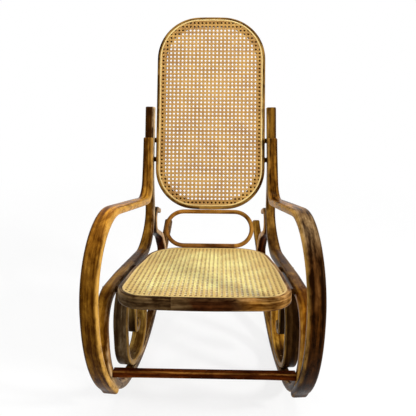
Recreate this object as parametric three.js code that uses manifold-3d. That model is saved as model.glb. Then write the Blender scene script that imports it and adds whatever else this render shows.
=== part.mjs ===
// Bentwood rocking chair with a caned seat and back
// Millimetres, Z up, the sitter faces -Y. Heights are above the floor, reaches are behind the front of the seat.

import * as THREE from 'three';
import { mergeGeometries, mergeVertices } from 'three/addons/utils/BufferGeometryUtils.js';
import Module from 'manifold-3d';

const wasm = await Module();
wasm.setup();

const degrees = Math.PI / 180;

// Fits
const jointGap = 0.3;
const boreOverrun = 2;

// Side frames
const frameSplay = 6 * degrees;
const frameHalfWidth = 253.2;
const memberWidth = 31;
const memberThickness = 27;
const memberCorner = 7;
const bendStep = 11 * degrees;

// Stile, seat rail, front loop, runner and tail, bent from one bar and measured on its centre line
const stileReach = 606;
const stileTopRun = 49;
const stileTopReach = stileReach + stileTopRun;
const stileTopHeight = 781.5;
const stileBendHeight = 560;
const stileBendRadius = 450;
const railRearHeight = 307;
const railFrontHeight = 382;
const hipBendRadius = 125;
const kneeBendRadius = 93;
const frontReach = 21;
const railSlope = Math.atan2(railFrontHeight - railRearHeight, stileReach - frontReach);
const shinBendRadius = 232;
const rockRadius = 600;
const rockReach = 350;
const rockStep = 2.86 * degrees;
const rockStepsForward = 4;
const rockStepsBack = 13;
const tailSlope = 41.8 * degrees;
const tailLength = 231;
const tailWidth = 28;
const tailTaperShare = 0.7;

// Arm loop
const armThickness = 22;
const armWidth = 46.6;
const armFlareShare = 0.3;
const armTopHeight = 682;
const armElbowHeight = 474;
const armShoulderHeight = 643;
const armElbowRadius = 58;
const armShoulderRadius = 200;
const armFrontReach = -74;
const armWristHeight = 215;
const armWristRadius = 343;
const armFootSteps = 3;
const armFootShare = 0.56;

// Scroll between seat rail and runner
const scrollWidth = 41;
const scrollThickness = 17;
const scrollCorner = 4;
const scrollFrontReach = 209;
const scrollRearReach = 443;
const scrollTailReach = 400;
const scrollTopRadius = 128;
const scrollInnerDrop = 42.9;
const scrollInnerHeight = (
  railFrontHeight - (scrollRearReach - frontReach) * Math.tan(railSlope) - scrollInnerDrop
);
const scrollInnerRadius = 60;
const scrollStemReach = 318;
const scrollStemTaper = 8;
const scrollFootSteps = 2;
const hookHeight = 131;
const hookSpan = 41;
const hookRadius = 18;
const hookTipRadius = 14;
const hookTipHeight = 157;
const hookTipLean = 4;

// Rear strut
const strutWidth = 27;
const strutThickness = 17;
const strutTipRun = 88;
const strutTipReach = stileReach + strutTipRun;
const strutTipHeight = 402;
const strutCrestHeight = 438;
const strutCrestRadius = 26;
const strutWaistHeight = 356;
const strutWaistRadius = 38;
const strutHeelRadius = 28;
const strutHeelRun = 95;
const strutToeRun = 30;
const strutScrewRun = strutToeRun + 16;

// Seat ring, carried by the side rails
const softEdgeShare = 1 / 3;
const seatRise = 28;
const seatHeight = railFrontHeight + seatRise;
const seatRelief = 1.306 * degrees;
const seatSlope = railSlope - seatRelief;
const seatDepth = 454;
const seatFrontHalfWidth = 237.5;
const seatRearHalfWidth = 173;
const seatFrontBow = 13;
const seatSideBow = 12;
const seatSideRadius = 900;
const seatBowRadius = 1500;
const seatFrontCorner = 80;
const seatRearCorner = 110;
const seatRing = { width: 34, height: 36, rim: 9, softEdge: 7 };

// Back ring, held between the stiles
const backSideGap = 8.5;
const backHalfWidth = innerFace(stileReach) - backSideGap;
const backHeight = 646;
const backLean = 22.7 * degrees;
const backFootLead = 75;
const backFootReach = stileReach - backFootLead;
const backFootHeight = 467;
const backCornerShares = { top: 0.79, foot: 0.735 };
const backTopCorner = backHalfWidth * backCornerShares.top;
const backFootCorner = backHalfWidth * backCornerShares.foot;
const backBow = 5;
const backBowShare = 6.63;
const backBowRadius = backHalfWidth * backBowShare;
const backRing = { width: 30, height: 23, rim: 6, softEdge: 6 };

// Cane and its spline, the same on seat and back
const caneThickness = 1.5;
const caneLip = 4;
const splineWidth = 4.5;
const splineCrown = 0.8;
const grooveDepth = 6;
const gapMargin = 5;
const seatNet = { pitch: 33, gap: 23 };
const backNet = { pitch: 29, gap: 20 };

// Rear loop
const loopRod = 12.6;
const loopWidth = 289;
const loopHeight = 125;
const loopLean = 30 * degrees;
const loopCorner = 55;
const loopInset = 8;
const rodSides = 8;

// Front stretcher
const stretcherReach = 47;
const stretcherHeight = 153;
const stretcherDepth = 22;
const stretcherThickness = 17.5;
const stretcherEndDepth = 25;
const stretcherEndThickness = 21;
const stretcherSwell = 85;
const stretcherCorner = 3.5;
const tenonRadius = 6;
const tenonLength = 16;
const tenonSides = 10;

// Screws and distance pieces
const screwRadius = 2.5;
const screwHeadRadius = 5.5;
const screwHeadDepth = 3.5;
const screwPoint = 4;
const screwSides = 6;
const headRecess = 1;
const spacerRadius = 9;
const spacerBore = screwRadius + jointGap;
const spacerSides = 10;
const backScrewHeights = { lower: 612, upper: 674 };
const backScrewShifts = { lower: -3, upper: 4 };
const backScrewBite = 16;
const seatScrewReaches = { front: 105, rear: 297 };
const seatScrewRise = 5;
const seatScrewBite = 19;
const armScrewHeights = { upper: 652, lower: 588 };
const armScrewBite = 13;
const bandScrewBite = 15;
const bandScrewShares = { armFoot: 0.28, scrollFoot: 0.5, strutTop: 0.5 };
const scrollScrewReach = 356;
const loopScrewReach = 88;
const loopScrewBite = 7;

// Finishes
const walnut = finish(0x6b4420, 0.38);
const darkWalnut = finish(0x54371c, 0.42);
const redWalnut = finish(0x6d3017, 0.36);
const goldenCane = finish(0xd0a458, 0.6);
const paleCane = finish(0xe2d48a, 0.6);
const brass = new THREE.MeshStandardMaterial({ color: 0xa08a55, roughness: 0.4, metalness: 0.9 });

function finish(color, roughness) {
  return new THREE.MeshStandardMaterial({ color, roughness, metalness: 0 });
}

// Closed solids from rings of points

function solidFromRings(rings, closed) {
  const count = rings[0].length;
  const positions = rings.flat(2);
  const index = [];
  const spans = closed ? rings.length : rings.length - 1;
  for (let i = 0; i < spans; i += 1) {
    const here = i * count;
    const there = ((i + 1) % rings.length) * count;
    for (let j = 0; j < count; j += 1) {
      const k = (j + 1) % count;
      index.push(here + j, here + k, there + k, here + j, there + k, there + j);
    }
  }
  if (!closed) {
    const last = (rings.length - 1) * count;
    for (let j = 1; j < count - 1; j += 1) {
      index.push(0, j + 1, j);
      index.push(last, last + j, last + j + 1);
    }
  }
  const geometry = new THREE.BufferGeometry();
  geometry.setAttribute('position', new THREE.Float32BufferAttribute(positions, 3));
  geometry.setIndex(index);
  return facingOut(geometry);
}

function facingOut(geometry) {
  const place = geometry.attributes.position;
  const index = geometry.index.array;
  const [a, b, c] = [new THREE.Vector3(), new THREE.Vector3(), new THREE.Vector3()];
  let volume = 0;
  for (let i = 0; i < index.length; i += 3) {
    a.fromBufferAttribute(place, index[i]);
    b.fromBufferAttribute(place, index[i + 1]);
    c.fromBufferAttribute(place, index[i + 2]);
    volume += a.dot(b.cross(c));
  }
  if (volume < 0) {
    for (let i = 0; i < index.length; i += 3) {
      [index[i], index[i + 1]] = [index[i + 1], index[i]];
    }
  }
  return geometry;
}

function toManifold(geometry) {
  const bare = geometry.clone();
  for (const name of Object.keys(bare.attributes)) {
    if (name !== 'position') bare.deleteAttribute(name);
  }
  const merged = mergeVertices(bare);
  return new wasm.Manifold(new wasm.Mesh({
    numProp: 3,
    vertProperties: new Float32Array(merged.attributes.position.array),
    triVerts: new Uint32Array(merged.index.array),
  }));
}

function fromManifold(solid) {
  const mesh = solid.getMesh();
  const geometry = new THREE.BufferGeometry();
  geometry.setAttribute('position', new THREE.Float32BufferAttribute(mesh.vertProperties, 3));
  geometry.setIndex(Array.from(mesh.triVerts));
  return geometry;
}

// Paths: straight legs joined by bends of a stated radius

const point = (y, z, r = 0) => ({ y, z, r });

function crossing(a, b, c, d) {
  const along = (a.y - c.y) * (d.z - c.z) - (a.z - c.z) * (d.y - c.y);
  const across = (d.y - c.y) * (b.z - a.z) - (d.z - c.z) * (b.y - a.y);
  const share = along / across;
  return point(a.y + share * (b.y - a.y), a.z + share * (b.z - a.z));
}

function rounded(corners, closed = false) {
  const path = [];
  const total = corners.length;
  corners.forEach((corner, i) => {
    const end = !closed && (i === 0 || i === total - 1);
    if (end || corner.r === 0) {
      path.push(point(corner.y, corner.z));
      return;
    }
    const before = corners[(i + total - 1) % total];
    const after = corners[(i + 1) % total];
    const inward = Math.atan2(corner.z - before.z, corner.y - before.y);
    const outward = Math.atan2(after.z - corner.z, after.y - corner.y);
    const turn = Math.atan2(Math.sin(outward - inward), Math.cos(outward - inward));
    const tangent = corner.r * Math.tan(Math.abs(turn) / 2);
    const hand = Math.sign(turn);
    const startY = corner.y - tangent * Math.cos(inward);
    const startZ = corner.z - tangent * Math.sin(inward);
    const centreY = startY - hand * corner.r * Math.sin(inward);
    const centreZ = startZ + hand * corner.r * Math.cos(inward);
    const steps = Math.max(2, Math.round(Math.abs(turn) / bendStep));
    for (let s = 0; s <= steps; s += 1) {
      const angle = inward + (turn * s) / steps;
      path.push(point(
        centreY + hand * corner.r * Math.sin(angle),
        centreZ - hand * corner.r * Math.cos(angle),
      ));
    }
  });
  return path;
}

// Each station carries a side vector that keeps facets parallel when it is scaled to an offset
function stations(path, closed = false) {
  const total = path.length;
  return path.map((here, i) => {
    const first = !closed && i === 0;
    const last = !closed && i === total - 1;
    const before = path[(i + total - 1) % total];
    const after = path[(i + 1) % total];
    const inward = Math.atan2(here.z - before.z, here.y - before.y);
    const outward = Math.atan2(after.z - here.z, after.y - here.y);
    const from = first ? outward : inward;
    const to = last ? inward : outward;
    const half = Math.atan2(Math.sin(to - from), Math.cos(to - from)) / 2;
    const stretch = 1 / Math.cos(half);
    return {
      y: here.y,
      z: here.z,
      sideY: -Math.sin(from + half) * stretch,
      sideZ: Math.cos(from + half) * stretch,
    };
  });
}

const between = (a, b, share) => point(
  THREE.MathUtils.lerp(a.y, b.y, share),
  THREE.MathUtils.lerp(a.z, b.z, share),
);

const beside = (station, offset) => point(
  station.y + station.sideY * offset,
  station.z + station.sideZ * offset,
);

function lengths(path) {
  let run = 0;
  const runs = path.map((here, i) => {
    if (i > 0) run += Math.hypot(here.y - path[i - 1].y, here.z - path[i - 1].z);
    return run;
  });
  return runs.map((value) => value / run);
}

function barSection(width, thickness, corner) {
  const [w, t] = [width / 2, thickness / 2];
  return [
    [w, corner - t], [w, t - corner], [w - corner, t], [corner - w, t],
    [-w, t - corner], [-w, corner - t], [corner - w, -t], [w - corner, -t],
  ];
}

// A bent bar lies in the plane of its side frame. Bands have their inner face on that plane, and the arm is
// centred on the member that it is screwed to.
function bentBar(path, hand, widthAt, thicknessAt, corner, centre = 0) {
  const shares = lengths(path);
  return solidFromRings(stations(path).map((station, i) => {
    const width = widthAt(shares[i]);
    const section = barSection(width, thicknessAt(shares[i]), corner);
    return section.map(([across, offset]) => [
      hand * ((centre || width / 2) + across),
      station.y + station.sideY * offset,
      station.z + station.sideZ * offset,
    ]);
  }), false);
}

const steady = (value) => () => value;
const tapering = (from, to, startShare) => (share) => {
  const eased = THREE.MathUtils.smoothstep(share, startShare, 1);
  return THREE.MathUtils.lerp(from, to, eased);
};

// Side member: stile, rail, front loop, runner and tail
const barHalf = memberThickness / 2;
const rockBarRadius = (rockRadius - barHalf) / Math.cos(rockStep / 2);

function rockPoint(step) {
  const angle = (step + 0.5) * rockStep;
  return point(
    rockReach + rockBarRadius * Math.sin(angle),
    rockRadius - rockBarRadius * Math.cos(angle),
  );
}

const runnerPath = [];
for (let step = -rockStepsForward; step <= rockStepsBack; step += 1) {
  runnerPath.push(rockPoint(step));
}
const arcEnd = runnerPath[runnerPath.length - 1];
runnerPath.push(point(
  arcEnd.y + tailLength * Math.cos(tailSlope),
  arcEnd.z + tailLength * Math.sin(tailSlope),
));

const shinFoot = crossing(
  runnerPath[1],
  runnerPath[0],
  point(frontReach, 0),
  point(frontReach, railFrontHeight),
);

const stilePath = rounded([
  point(stileTopReach, stileTopHeight),
  point(stileReach, stileBendHeight, stileBendRadius),
  point(stileReach, railRearHeight, hipBendRadius),
  point(frontReach, railFrontHeight, kneeBendRadius),
  point(frontReach, shinFoot.z, shinBendRadius),
  runnerPath[0],
]);
const sidePath = stilePath.concat(runnerPath.slice(1));
const sideStations = stations(sidePath);
const runnerStart = stilePath.length - 1;
const shinTurn = Math.PI / 2 - rockStep * (rockStepsForward - 1);
const shinStart = runnerStart - 1 - Math.round(shinTurn / bendStep);
const hipStart = stilePath.findIndex((place) => place.z < railRearHeight + hipBendRadius);

function railCentre(reach, below) {
  const share = (reach - frontReach) / (stileReach - frontReach);
  return point(
    reach - below * Math.sin(railSlope),
    THREE.MathUtils.lerp(railFrontHeight, railRearHeight, share) - below * Math.cos(railSlope),
  );
}

function stileCentre(height, before) {
  const top = point(stileTopReach, stileTopHeight);
  const bend = point(stileReach, stileBendHeight);
  const share = (height - bend.z) / (top.z - bend.z);
  const lean = Math.atan2(top.y - bend.y, top.z - bend.z);
  return point(
    THREE.MathUtils.lerp(bend.y, top.y, share) - before * Math.cos(lean),
    height + before * Math.sin(lean),
  );
}

function sideMember(hand) {
  return bentBar(
    sidePath,
    hand,
    tapering(memberWidth, tailWidth, tailTaperShare),
    steady(memberThickness),
    memberCorner,
  );
}

// Arm loop: seated on the front of the stile and on the underside of the shin bend
const armOffset = barHalf + jointGap + armThickness / 2;
const armTop = stileCentre(armTopHeight, armOffset);
const armLow = stileCentre(armElbowHeight, armOffset);
const armFront = point(armFrontReach, armShoulderHeight);
const armElbow = crossing(armTop, armLow, point(stileReach, armElbowHeight), armFront);
const armFoot = [0, 1].map((step) => (
  beside(sideStations[shinStart + armFootSteps + step], -armOffset)
));
const armPath = rounded([
  armTop,
  point(armElbow.y, armElbow.z, armElbowRadius),
  point(armFrontReach, armShoulderHeight, armShoulderRadius),
  point(armFrontReach, armWristHeight, armWristRadius),
  armFoot[0],
  between(armFoot[0], armFoot[1], armFootShare),
]);

function armLoop(hand) {
  const widthAt = (share) => THREE.MathUtils.lerp(
    memberWidth,
    armWidth,
    THREE.MathUtils.smoothstep(share, 0, armFlareShare),
  );
  return bentBar(armPath, hand, widthAt, steady(armThickness), memberCorner, memberWidth / 2);
}

// Scroll: a spiral band under the rail, down the front, along the runner and up into a hook
const scrollOffset = barHalf + jointGap + scrollThickness / 2;
const scrollFoot = [
  beside(sideStations[runnerStart + scrollFootSteps], scrollOffset),
  beside(sideStations[runnerStart + scrollFootSteps + 1], scrollOffset),
];

function reachingBend(corner, before, after, tangent) {
  const inward = Math.atan2(corner.z - before.z, corner.y - before.y);
  const outward = Math.atan2(after.z - corner.z, after.y - corner.y);
  const turn = Math.atan2(Math.sin(outward - inward), Math.cos(outward - inward));
  return point(corner.y, corner.z, tangent / Math.tan(Math.abs(turn) / 2));
}

const scrollTail = railCentre(scrollTailReach, scrollOffset);
const scrollBrow = railCentre(scrollFrontReach, scrollOffset);
const scrollToe = crossing(
  scrollFoot[0],
  scrollFoot[1],
  point(scrollFrontReach, 0),
  point(scrollFrontReach, seatHeight),
);
const scrollHeel = crossing(
  scrollFoot[0],
  scrollFoot[1],
  point(scrollRearReach, 0),
  point(scrollRearReach, seatHeight),
);
const scrollPath = rounded([
  scrollTail,
  point(scrollFrontReach, scrollBrow.z, scrollTopRadius),
  reachingBend(scrollToe, scrollBrow, scrollFoot[0], scrollFoot[0].y - scrollToe.y - jointGap),
  reachingBend(
    scrollHeel,
    scrollFoot[1],
    point(scrollRearReach, seatHeight),
    scrollHeel.y - scrollFoot[1].y - jointGap,
  ),
  point(scrollRearReach, scrollInnerHeight, scrollInnerRadius),
  point(scrollStemReach, scrollInnerHeight, scrollInnerRadius),
  point(scrollStemReach - scrollStemTaper, hookHeight, hookRadius),
  point(scrollStemReach - scrollStemTaper + hookSpan, hookHeight, hookTipRadius),
  point(scrollStemReach - scrollStemTaper + hookSpan - hookTipLean, hookTipHeight),
]);

function ovalScroll(hand) {
  return bentBar(scrollPath, hand, steady(scrollWidth), steady(scrollThickness), scrollCorner);
}

// Rear strut: curled over at the top, seated on the hip bend, laid along the tail at the foot
const strutOffset = barHalf + jointGap + strutThickness / 2;
const strutSeat = [hipStart, hipStart + 1].map((k) => beside(sideStations[k], strutOffset));
const strutCrest = crossing(
  strutSeat[0],
  strutSeat[1],
  point(0, strutCrestHeight),
  point(stileReach, strutCrestHeight),
);
const strutWaist = crossing(
  strutSeat[0],
  strutSeat[1],
  point(0, strutWaistHeight),
  point(stileReach, strutWaistHeight),
);
const tailStart = sideStations.length - 2;
const strutFoot = [strutHeelRun, strutToeRun].map((run) => between(
  beside(sideStations[tailStart], strutOffset),
  beside(sideStations[tailStart + 1], strutOffset),
  run / tailLength,
));
const strutPath = rounded([
  point(strutTipReach, strutTipHeight),
  point(strutCrest.y, strutCrest.z, strutCrestRadius),
  point(strutWaist.y, strutWaist.z, strutWaistRadius),
  point(strutFoot[0].y, strutFoot[0].z, strutHeelRadius),
  strutFoot[1],
]);

function rearStrut(hand) {
  return bentBar(strutPath, hand, steady(strutWidth), steady(strutThickness), scrollCorner);
}

// Rings that lie flat in their own plane: section points are [inward, up] from the outer top edge
function flatRing(outline, section) {
  return solidFromRings(stations(outline, true).map((station) => section.map(([inward, up]) => [
    station.y + station.sideY * inward,
    station.z + station.sideZ * inward,
    up,
  ])), true);
}

const grooveWidth = jointGap * 3 + splineWidth + caneThickness;

function ringSection(ring) {
  const ledge = -caneThickness - jointGap;
  const groove = ring.rim + ring.softEdge / 2;
  return [
    [0, ring.softEdge - ring.height],
    [0, -ring.softEdge],
    [ring.softEdge * softEdgeShare, -ring.softEdge * softEdgeShare],
    [ring.softEdge, 0],
    [groove, 0],
    [groove, -grooveDepth],
    [groove + grooveWidth, -grooveDepth],
    [groove + grooveWidth, ledge],
    [ring.width, ledge],
    [ring.width, -ring.height],
    [ring.softEdge, -ring.height],
  ];
}

function splineSection(ring) {
  const start = ring.rim + ring.softEdge / 2 + jointGap;
  const foot = jointGap - grooveDepth;
  return [
    [start, foot],
    [start, 0],
    [start + splineWidth / 2, splineCrown],
    [start + splineWidth, 0],
    [start + splineWidth, foot],
  ];
}

function outlineShape(outline, inward) {
  const shape = new THREE.Shape();
  stations(outline, true).forEach((station, i) => {
    const edge = beside(station, inward);
    if (i === 0) shape.moveTo(edge.y, edge.z);
    else shape.lineTo(edge.y, edge.z);
  });
  return shape;
}

function plate(outline, inward, low, high) {
  const geometry = new THREE.ExtrudeGeometry(outlineShape(outline, inward), {
    depth: high - low,
    bevelEnabled: false,
  });
  return geometry.translate(0, 0, low);
}

// The web: a flat sheet whose edge turns down into the groove, pierced in straight rows
function caneWeb(outline, ring, net) {
  const lipStart = ring.rim + ring.softEdge / 2 + jointGap * 2 + splineWidth;
  const sheet = toManifold(plate(outline, lipStart, -caneLip, 0));
  const under = toManifold(plate(outline, lipStart + caneThickness, -caneLip - boreOverrun, -caneThickness));
  const opening = outlineShape(outline, ring.width + gapMargin).getPoints();
  const box = new THREE.Box2().setFromPoints(opening);
  const centre = box.getCenter(new THREE.Vector2());
  const columns = Math.ceil((box.max.x - box.min.x) / net.pitch / 2);
  const rows = Math.ceil((box.max.y - box.min.y) / net.pitch / 2);
  const gaps = [];
  for (let column = -columns; column < columns; column += 1) {
    for (let row = -rows; row < rows; row += 1) {
      const x = centre.x + (column + 0.5) * net.pitch;
      const y = centre.y + (row + 0.5) * net.pitch;
      if (gapFits(opening, x, y, net.gap / 2)) {
        const gap = new THREE.BoxGeometry(net.gap, net.gap, caneThickness + boreOverrun * 2);
        gaps.push(gap.translate(x, y, -caneThickness / 2));
      }
    }
  }
  return fromManifold(sheet.subtract(under).subtract(toManifold(mergeGeometries(gaps))));
}

function gapFits(outline, x, y, half) {
  return [[-1, -1], [-1, 1], [1, -1], [1, 1]].every(([a, b]) => (
    inside(outline, x + a * half, y + b * half)
  ));
}

function inside(outline, x, y) {
  let odd = false;
  outline.forEach((a, i) => {
    const b = outline[(i + 1) % outline.length];
    if (a.y > y !== b.y > y && x < ((b.x - a.x) * (y - a.y)) / (b.y - a.y) + a.x) odd = !odd;
  });
  return odd;
}

// Outlines of seat, back and loop, anticlockwise in their own plane
const seatWaistHalfWidth = (seatFrontHalfWidth + seatRearHalfWidth) / 2 + seatSideBow;
const seatOutline = rounded([
  point(0, -seatFrontBow, seatBowRadius),
  point(seatFrontHalfWidth, 0, seatFrontCorner),
  point(seatWaistHalfWidth, seatDepth / 2, seatSideRadius),
  point(seatRearHalfWidth, seatDepth, seatRearCorner),
  point(-seatRearHalfWidth, seatDepth, seatRearCorner),
  point(-seatWaistHalfWidth, seatDepth / 2, seatSideRadius),
  point(-seatFrontHalfWidth, 0, seatFrontCorner),
], true);

const backOutline = rounded([
  point(0, -backBow / 2, backBowRadius),
  point(backHalfWidth, backBow / 2, backFootCorner),
  point(backHalfWidth, backHeight - backBow / 2, backTopCorner),
  point(0, backHeight + backBow / 2, backBowRadius),
  point(-backHalfWidth, backHeight - backBow / 2, backTopCorner),
  point(-backHalfWidth, backBow / 2, backFootCorner),
], true);

const rodHalf = loopRod / 2;
const loopOutline = rounded([
  point(loopWidth / 2 - rodHalf, rodHalf, loopCorner),
  point(loopWidth / 2 - rodHalf, loopHeight - rodHalf, loopCorner),
  point(rodHalf - loopWidth / 2, loopHeight - rodHalf, loopCorner),
  point(rodHalf - loopWidth / 2, rodHalf, loopCorner),
], true);

// One flat of the rod faces the rim that it stands on
function rodSection() {
  const corner = rodHalf / Math.cos(Math.PI / rodSides);
  const section = [];
  for (let i = 0; i < rodSides; i += 1) {
    const angle = loopLean - seatSlope + ((i + 0.5) / rodSides) * Math.PI * 2;
    section.push([corner * Math.cos(angle), corner * Math.sin(angle)]);
  }
  return section;
}

// Front stretcher: swells towards both ends, which meet the splayed frames, and has round tenons
function innerFace(reach) {
  return frameHalfWidth - Math.tan(frameSplay) * reach;
}

function stretcher() {
  const half = innerFace(stretcherReach);
  const swell = [
    [-half, stretcherEndDepth, stretcherEndThickness],
    [stretcherSwell - half, stretcherDepth, stretcherThickness],
    [half - stretcherSwell, stretcherDepth, stretcherThickness],
    [half, stretcherEndDepth, stretcherEndThickness],
  ];
  const rings = swell.map(([x, depth, thickness]) => (
    barSection(depth, thickness, stretcherCorner).map(([y, z]) => {
      const atEnd = Math.abs(x) === half;
      const end = Math.sign(x) * (innerFace(stretcherReach + y) - jointGap);
      return [atEnd ? end : x, y, z];
    })
  ));
  const tenonSpan = (half + tenonLength) * 2;
  const tenon = new THREE.CylinderGeometry(tenonRadius, tenonRadius, tenonSpan, tenonSides);
  tenon.rotateZ(Math.PI / 2);
  return fromManifold(toManifold(solidFromRings(rings, false)).add(toManifold(tenon)));
}

// Screws: the axis is Y, the head is at the origin and the point lies towards +Y
function screwProfile(length, extra) {
  const shank = screwRadius + extra;
  const head = screwHeadRadius + extra;
  const low = extra > 0 ? -screwHeadDepth - headRecess - boreOverrun : -screwHeadDepth;
  const tip = length + extra;
  return [
    new THREE.Vector2(0, low),
    new THREE.Vector2(head, low),
    new THREE.Vector2(head, extra),
    new THREE.Vector2(shank, extra),
    new THREE.Vector2(shank, tip - screwPoint),
    new THREE.Vector2(0, tip),
  ];
}

const screwShape = (length) => new THREE.LatheGeometry(screwProfile(length, 0), screwSides);
const screwBore = (length) => new THREE.LatheGeometry(screwProfile(length, jointGap), screwSides);

function mesh(name, geometry, material) {
  const bare = geometry.clone();
  for (const key of Object.keys(bare.attributes)) {
    if (key !== 'position') bare.deleteAttribute(key);
  }
  const whole = mergeVertices(bare);
  const corners = whole.index.array;
  const kept = [];
  for (let i = 0; i < corners.length; i += 3) {
    const [a, b, c] = corners.slice(i, i + 3);
    if (a !== b && b !== c && c !== a) kept.push(a, b, c);
  }
  whole.setIndex(kept);
  const part = new THREE.Mesh(whole, material);
  part.name = name;
  return part;
}

// Assembly
const chair = new THREE.Group();
const bores = [];

const seat = new THREE.Group();
seat.position.set(0, 0, seatHeight);
seat.rotation.x = -seatSlope;
const seatFrame = mesh('seat_frame', flatRing(seatOutline, ringSection(seatRing)), walnut);
const seatCane = mesh('seat_cane', caneWeb(seatOutline, seatRing, seatNet), paleCane);
const seatSpline = mesh('seat_spline', flatRing(seatOutline, splineSection(seatRing)), paleCane);
seat.add(seatFrame, seatCane, seatSpline);

const back = new THREE.Group();
back.position.set(0, backFootReach, backFootHeight);
back.rotation.x = Math.PI / 2 - backLean;
const backFrame = mesh('back_frame', flatRing(backOutline, ringSection(backRing)), walnut);
const backCane = mesh('back_cane', caneWeb(backOutline, backRing, backNet), goldenCane);
const backSpline = mesh('back_spline', flatRing(backOutline, splineSection(backRing)), goldenCane);
back.add(backFrame, backCane, backSpline);

// The loop stands on the rear rim of the seat
const loopFoot = new THREE.Vector3(0, seatDepth - loopInset, rodHalf + jointGap);
const loopTurn = new THREE.Euler(Math.PI / 2 - loopLean, 0, 0);
const loop = new THREE.Group();
loop.rotation.copy(loopTurn);
loop.position.copy(loopFoot.applyEuler(seat.rotation).add(seat.position));
loop.position.sub(new THREE.Vector3(0, rodHalf, 0).applyEuler(loopTurn));
const rearLoop = mesh('rear_loop', flatRing(loopOutline, rodSection()), walnut);
loop.add(rearLoop);

const stretcherMesh = mesh('front_stretcher', stretcher(), redWalnut);
stretcherMesh.position.set(0, stretcherReach, stretcherHeight);

chair.add(seat, back, loop, stretcherMesh);
chair.updateMatrixWorld(true);

// A screw is laid with its head on one place and points along a direction, in its group's frame
function addScrew(name, group, head, direction, length, hosts) {
  const screw = mesh(name, screwShape(length), brass);
  const axis = direction.clone().normalize();
  screw.position.copy(head).addScaledVector(axis, screwHeadDepth + headRecess);
  screw.quaternion.setFromUnitVectors(new THREE.Vector3(0, 1, 0), axis);
  group.add(screw);
  bores.push({ tool: screwBore(length), at: screw, hosts });
}

// A band screw goes straight through a guest bar and bites into its host
function addBandScrew(name, group, hand, low, high, share, side, guest, width, hosts) {
  const reach = side * (barHalf + jointGap + guest);
  const [a, b] = [beside(low, reach), beside(high, reach)];
  const head = between(a, b, share);
  const along = new THREE.Vector3(0, b.y - a.y, b.z - a.z).normalize();
  const inward = new THREE.Vector3(0, side * along.z, -side * along.y);
  const start = new THREE.Vector3(hand * width / 2, head.y, head.z);
  const length = guest + jointGap + bandScrewBite - screwHeadDepth - headRecess;
  addScrew(name, group, start, inward, length, hosts);
}

// Distance piece between a side frame and the wall of a ring, its far end cut to the wall
function spacer(hand, centre, wall) {
  const inward = new THREE.Vector3(-hand, 0, 0);
  const rings = [];
  for (let i = 0; i < spacerSides; i += 1) {
    const angle = (i / spacerSides) * Math.PI * 2;
    const [outer, inner] = [spacerRadius, spacerBore].map((radius) => {
      const near = new THREE.Vector3(
        -hand * jointGap,
        centre.y + radius * Math.cos(angle),
        centre.z + radius * Math.sin(angle),
      );
      const far = new THREE.Ray(near, inward).intersectPlane(wall, new THREE.Vector3());
      return [near.toArray(), far.toArray()];
    });
    rings.push([outer[0], outer[1], inner[1], inner[0]]);
  }
  return solidFromRings(rings, true);
}

function wallPlane(owner, frame, onWall, normal) {
  const plane = new THREE.Plane().setFromNormalAndCoplanarPoint(
    normal.clone().normalize(),
    onWall.clone().addScaledVector(normal.clone().normalize(), jointGap),
  );
  return plane.applyMatrix4(owner.matrixWorld).applyMatrix4(frame.matrixWorld.clone().invert());
}

const seatWaist = new THREE.Vector3(seatWaistHalfWidth, seatDepth / 2, 0);
const seatSideRun = {
  front: seatWaist.clone().sub(new THREE.Vector3(seatFrontHalfWidth, 0, 0)),
  rear: new THREE.Vector3(seatRearHalfWidth, seatDepth, 0).sub(seatWaist),
};

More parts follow.
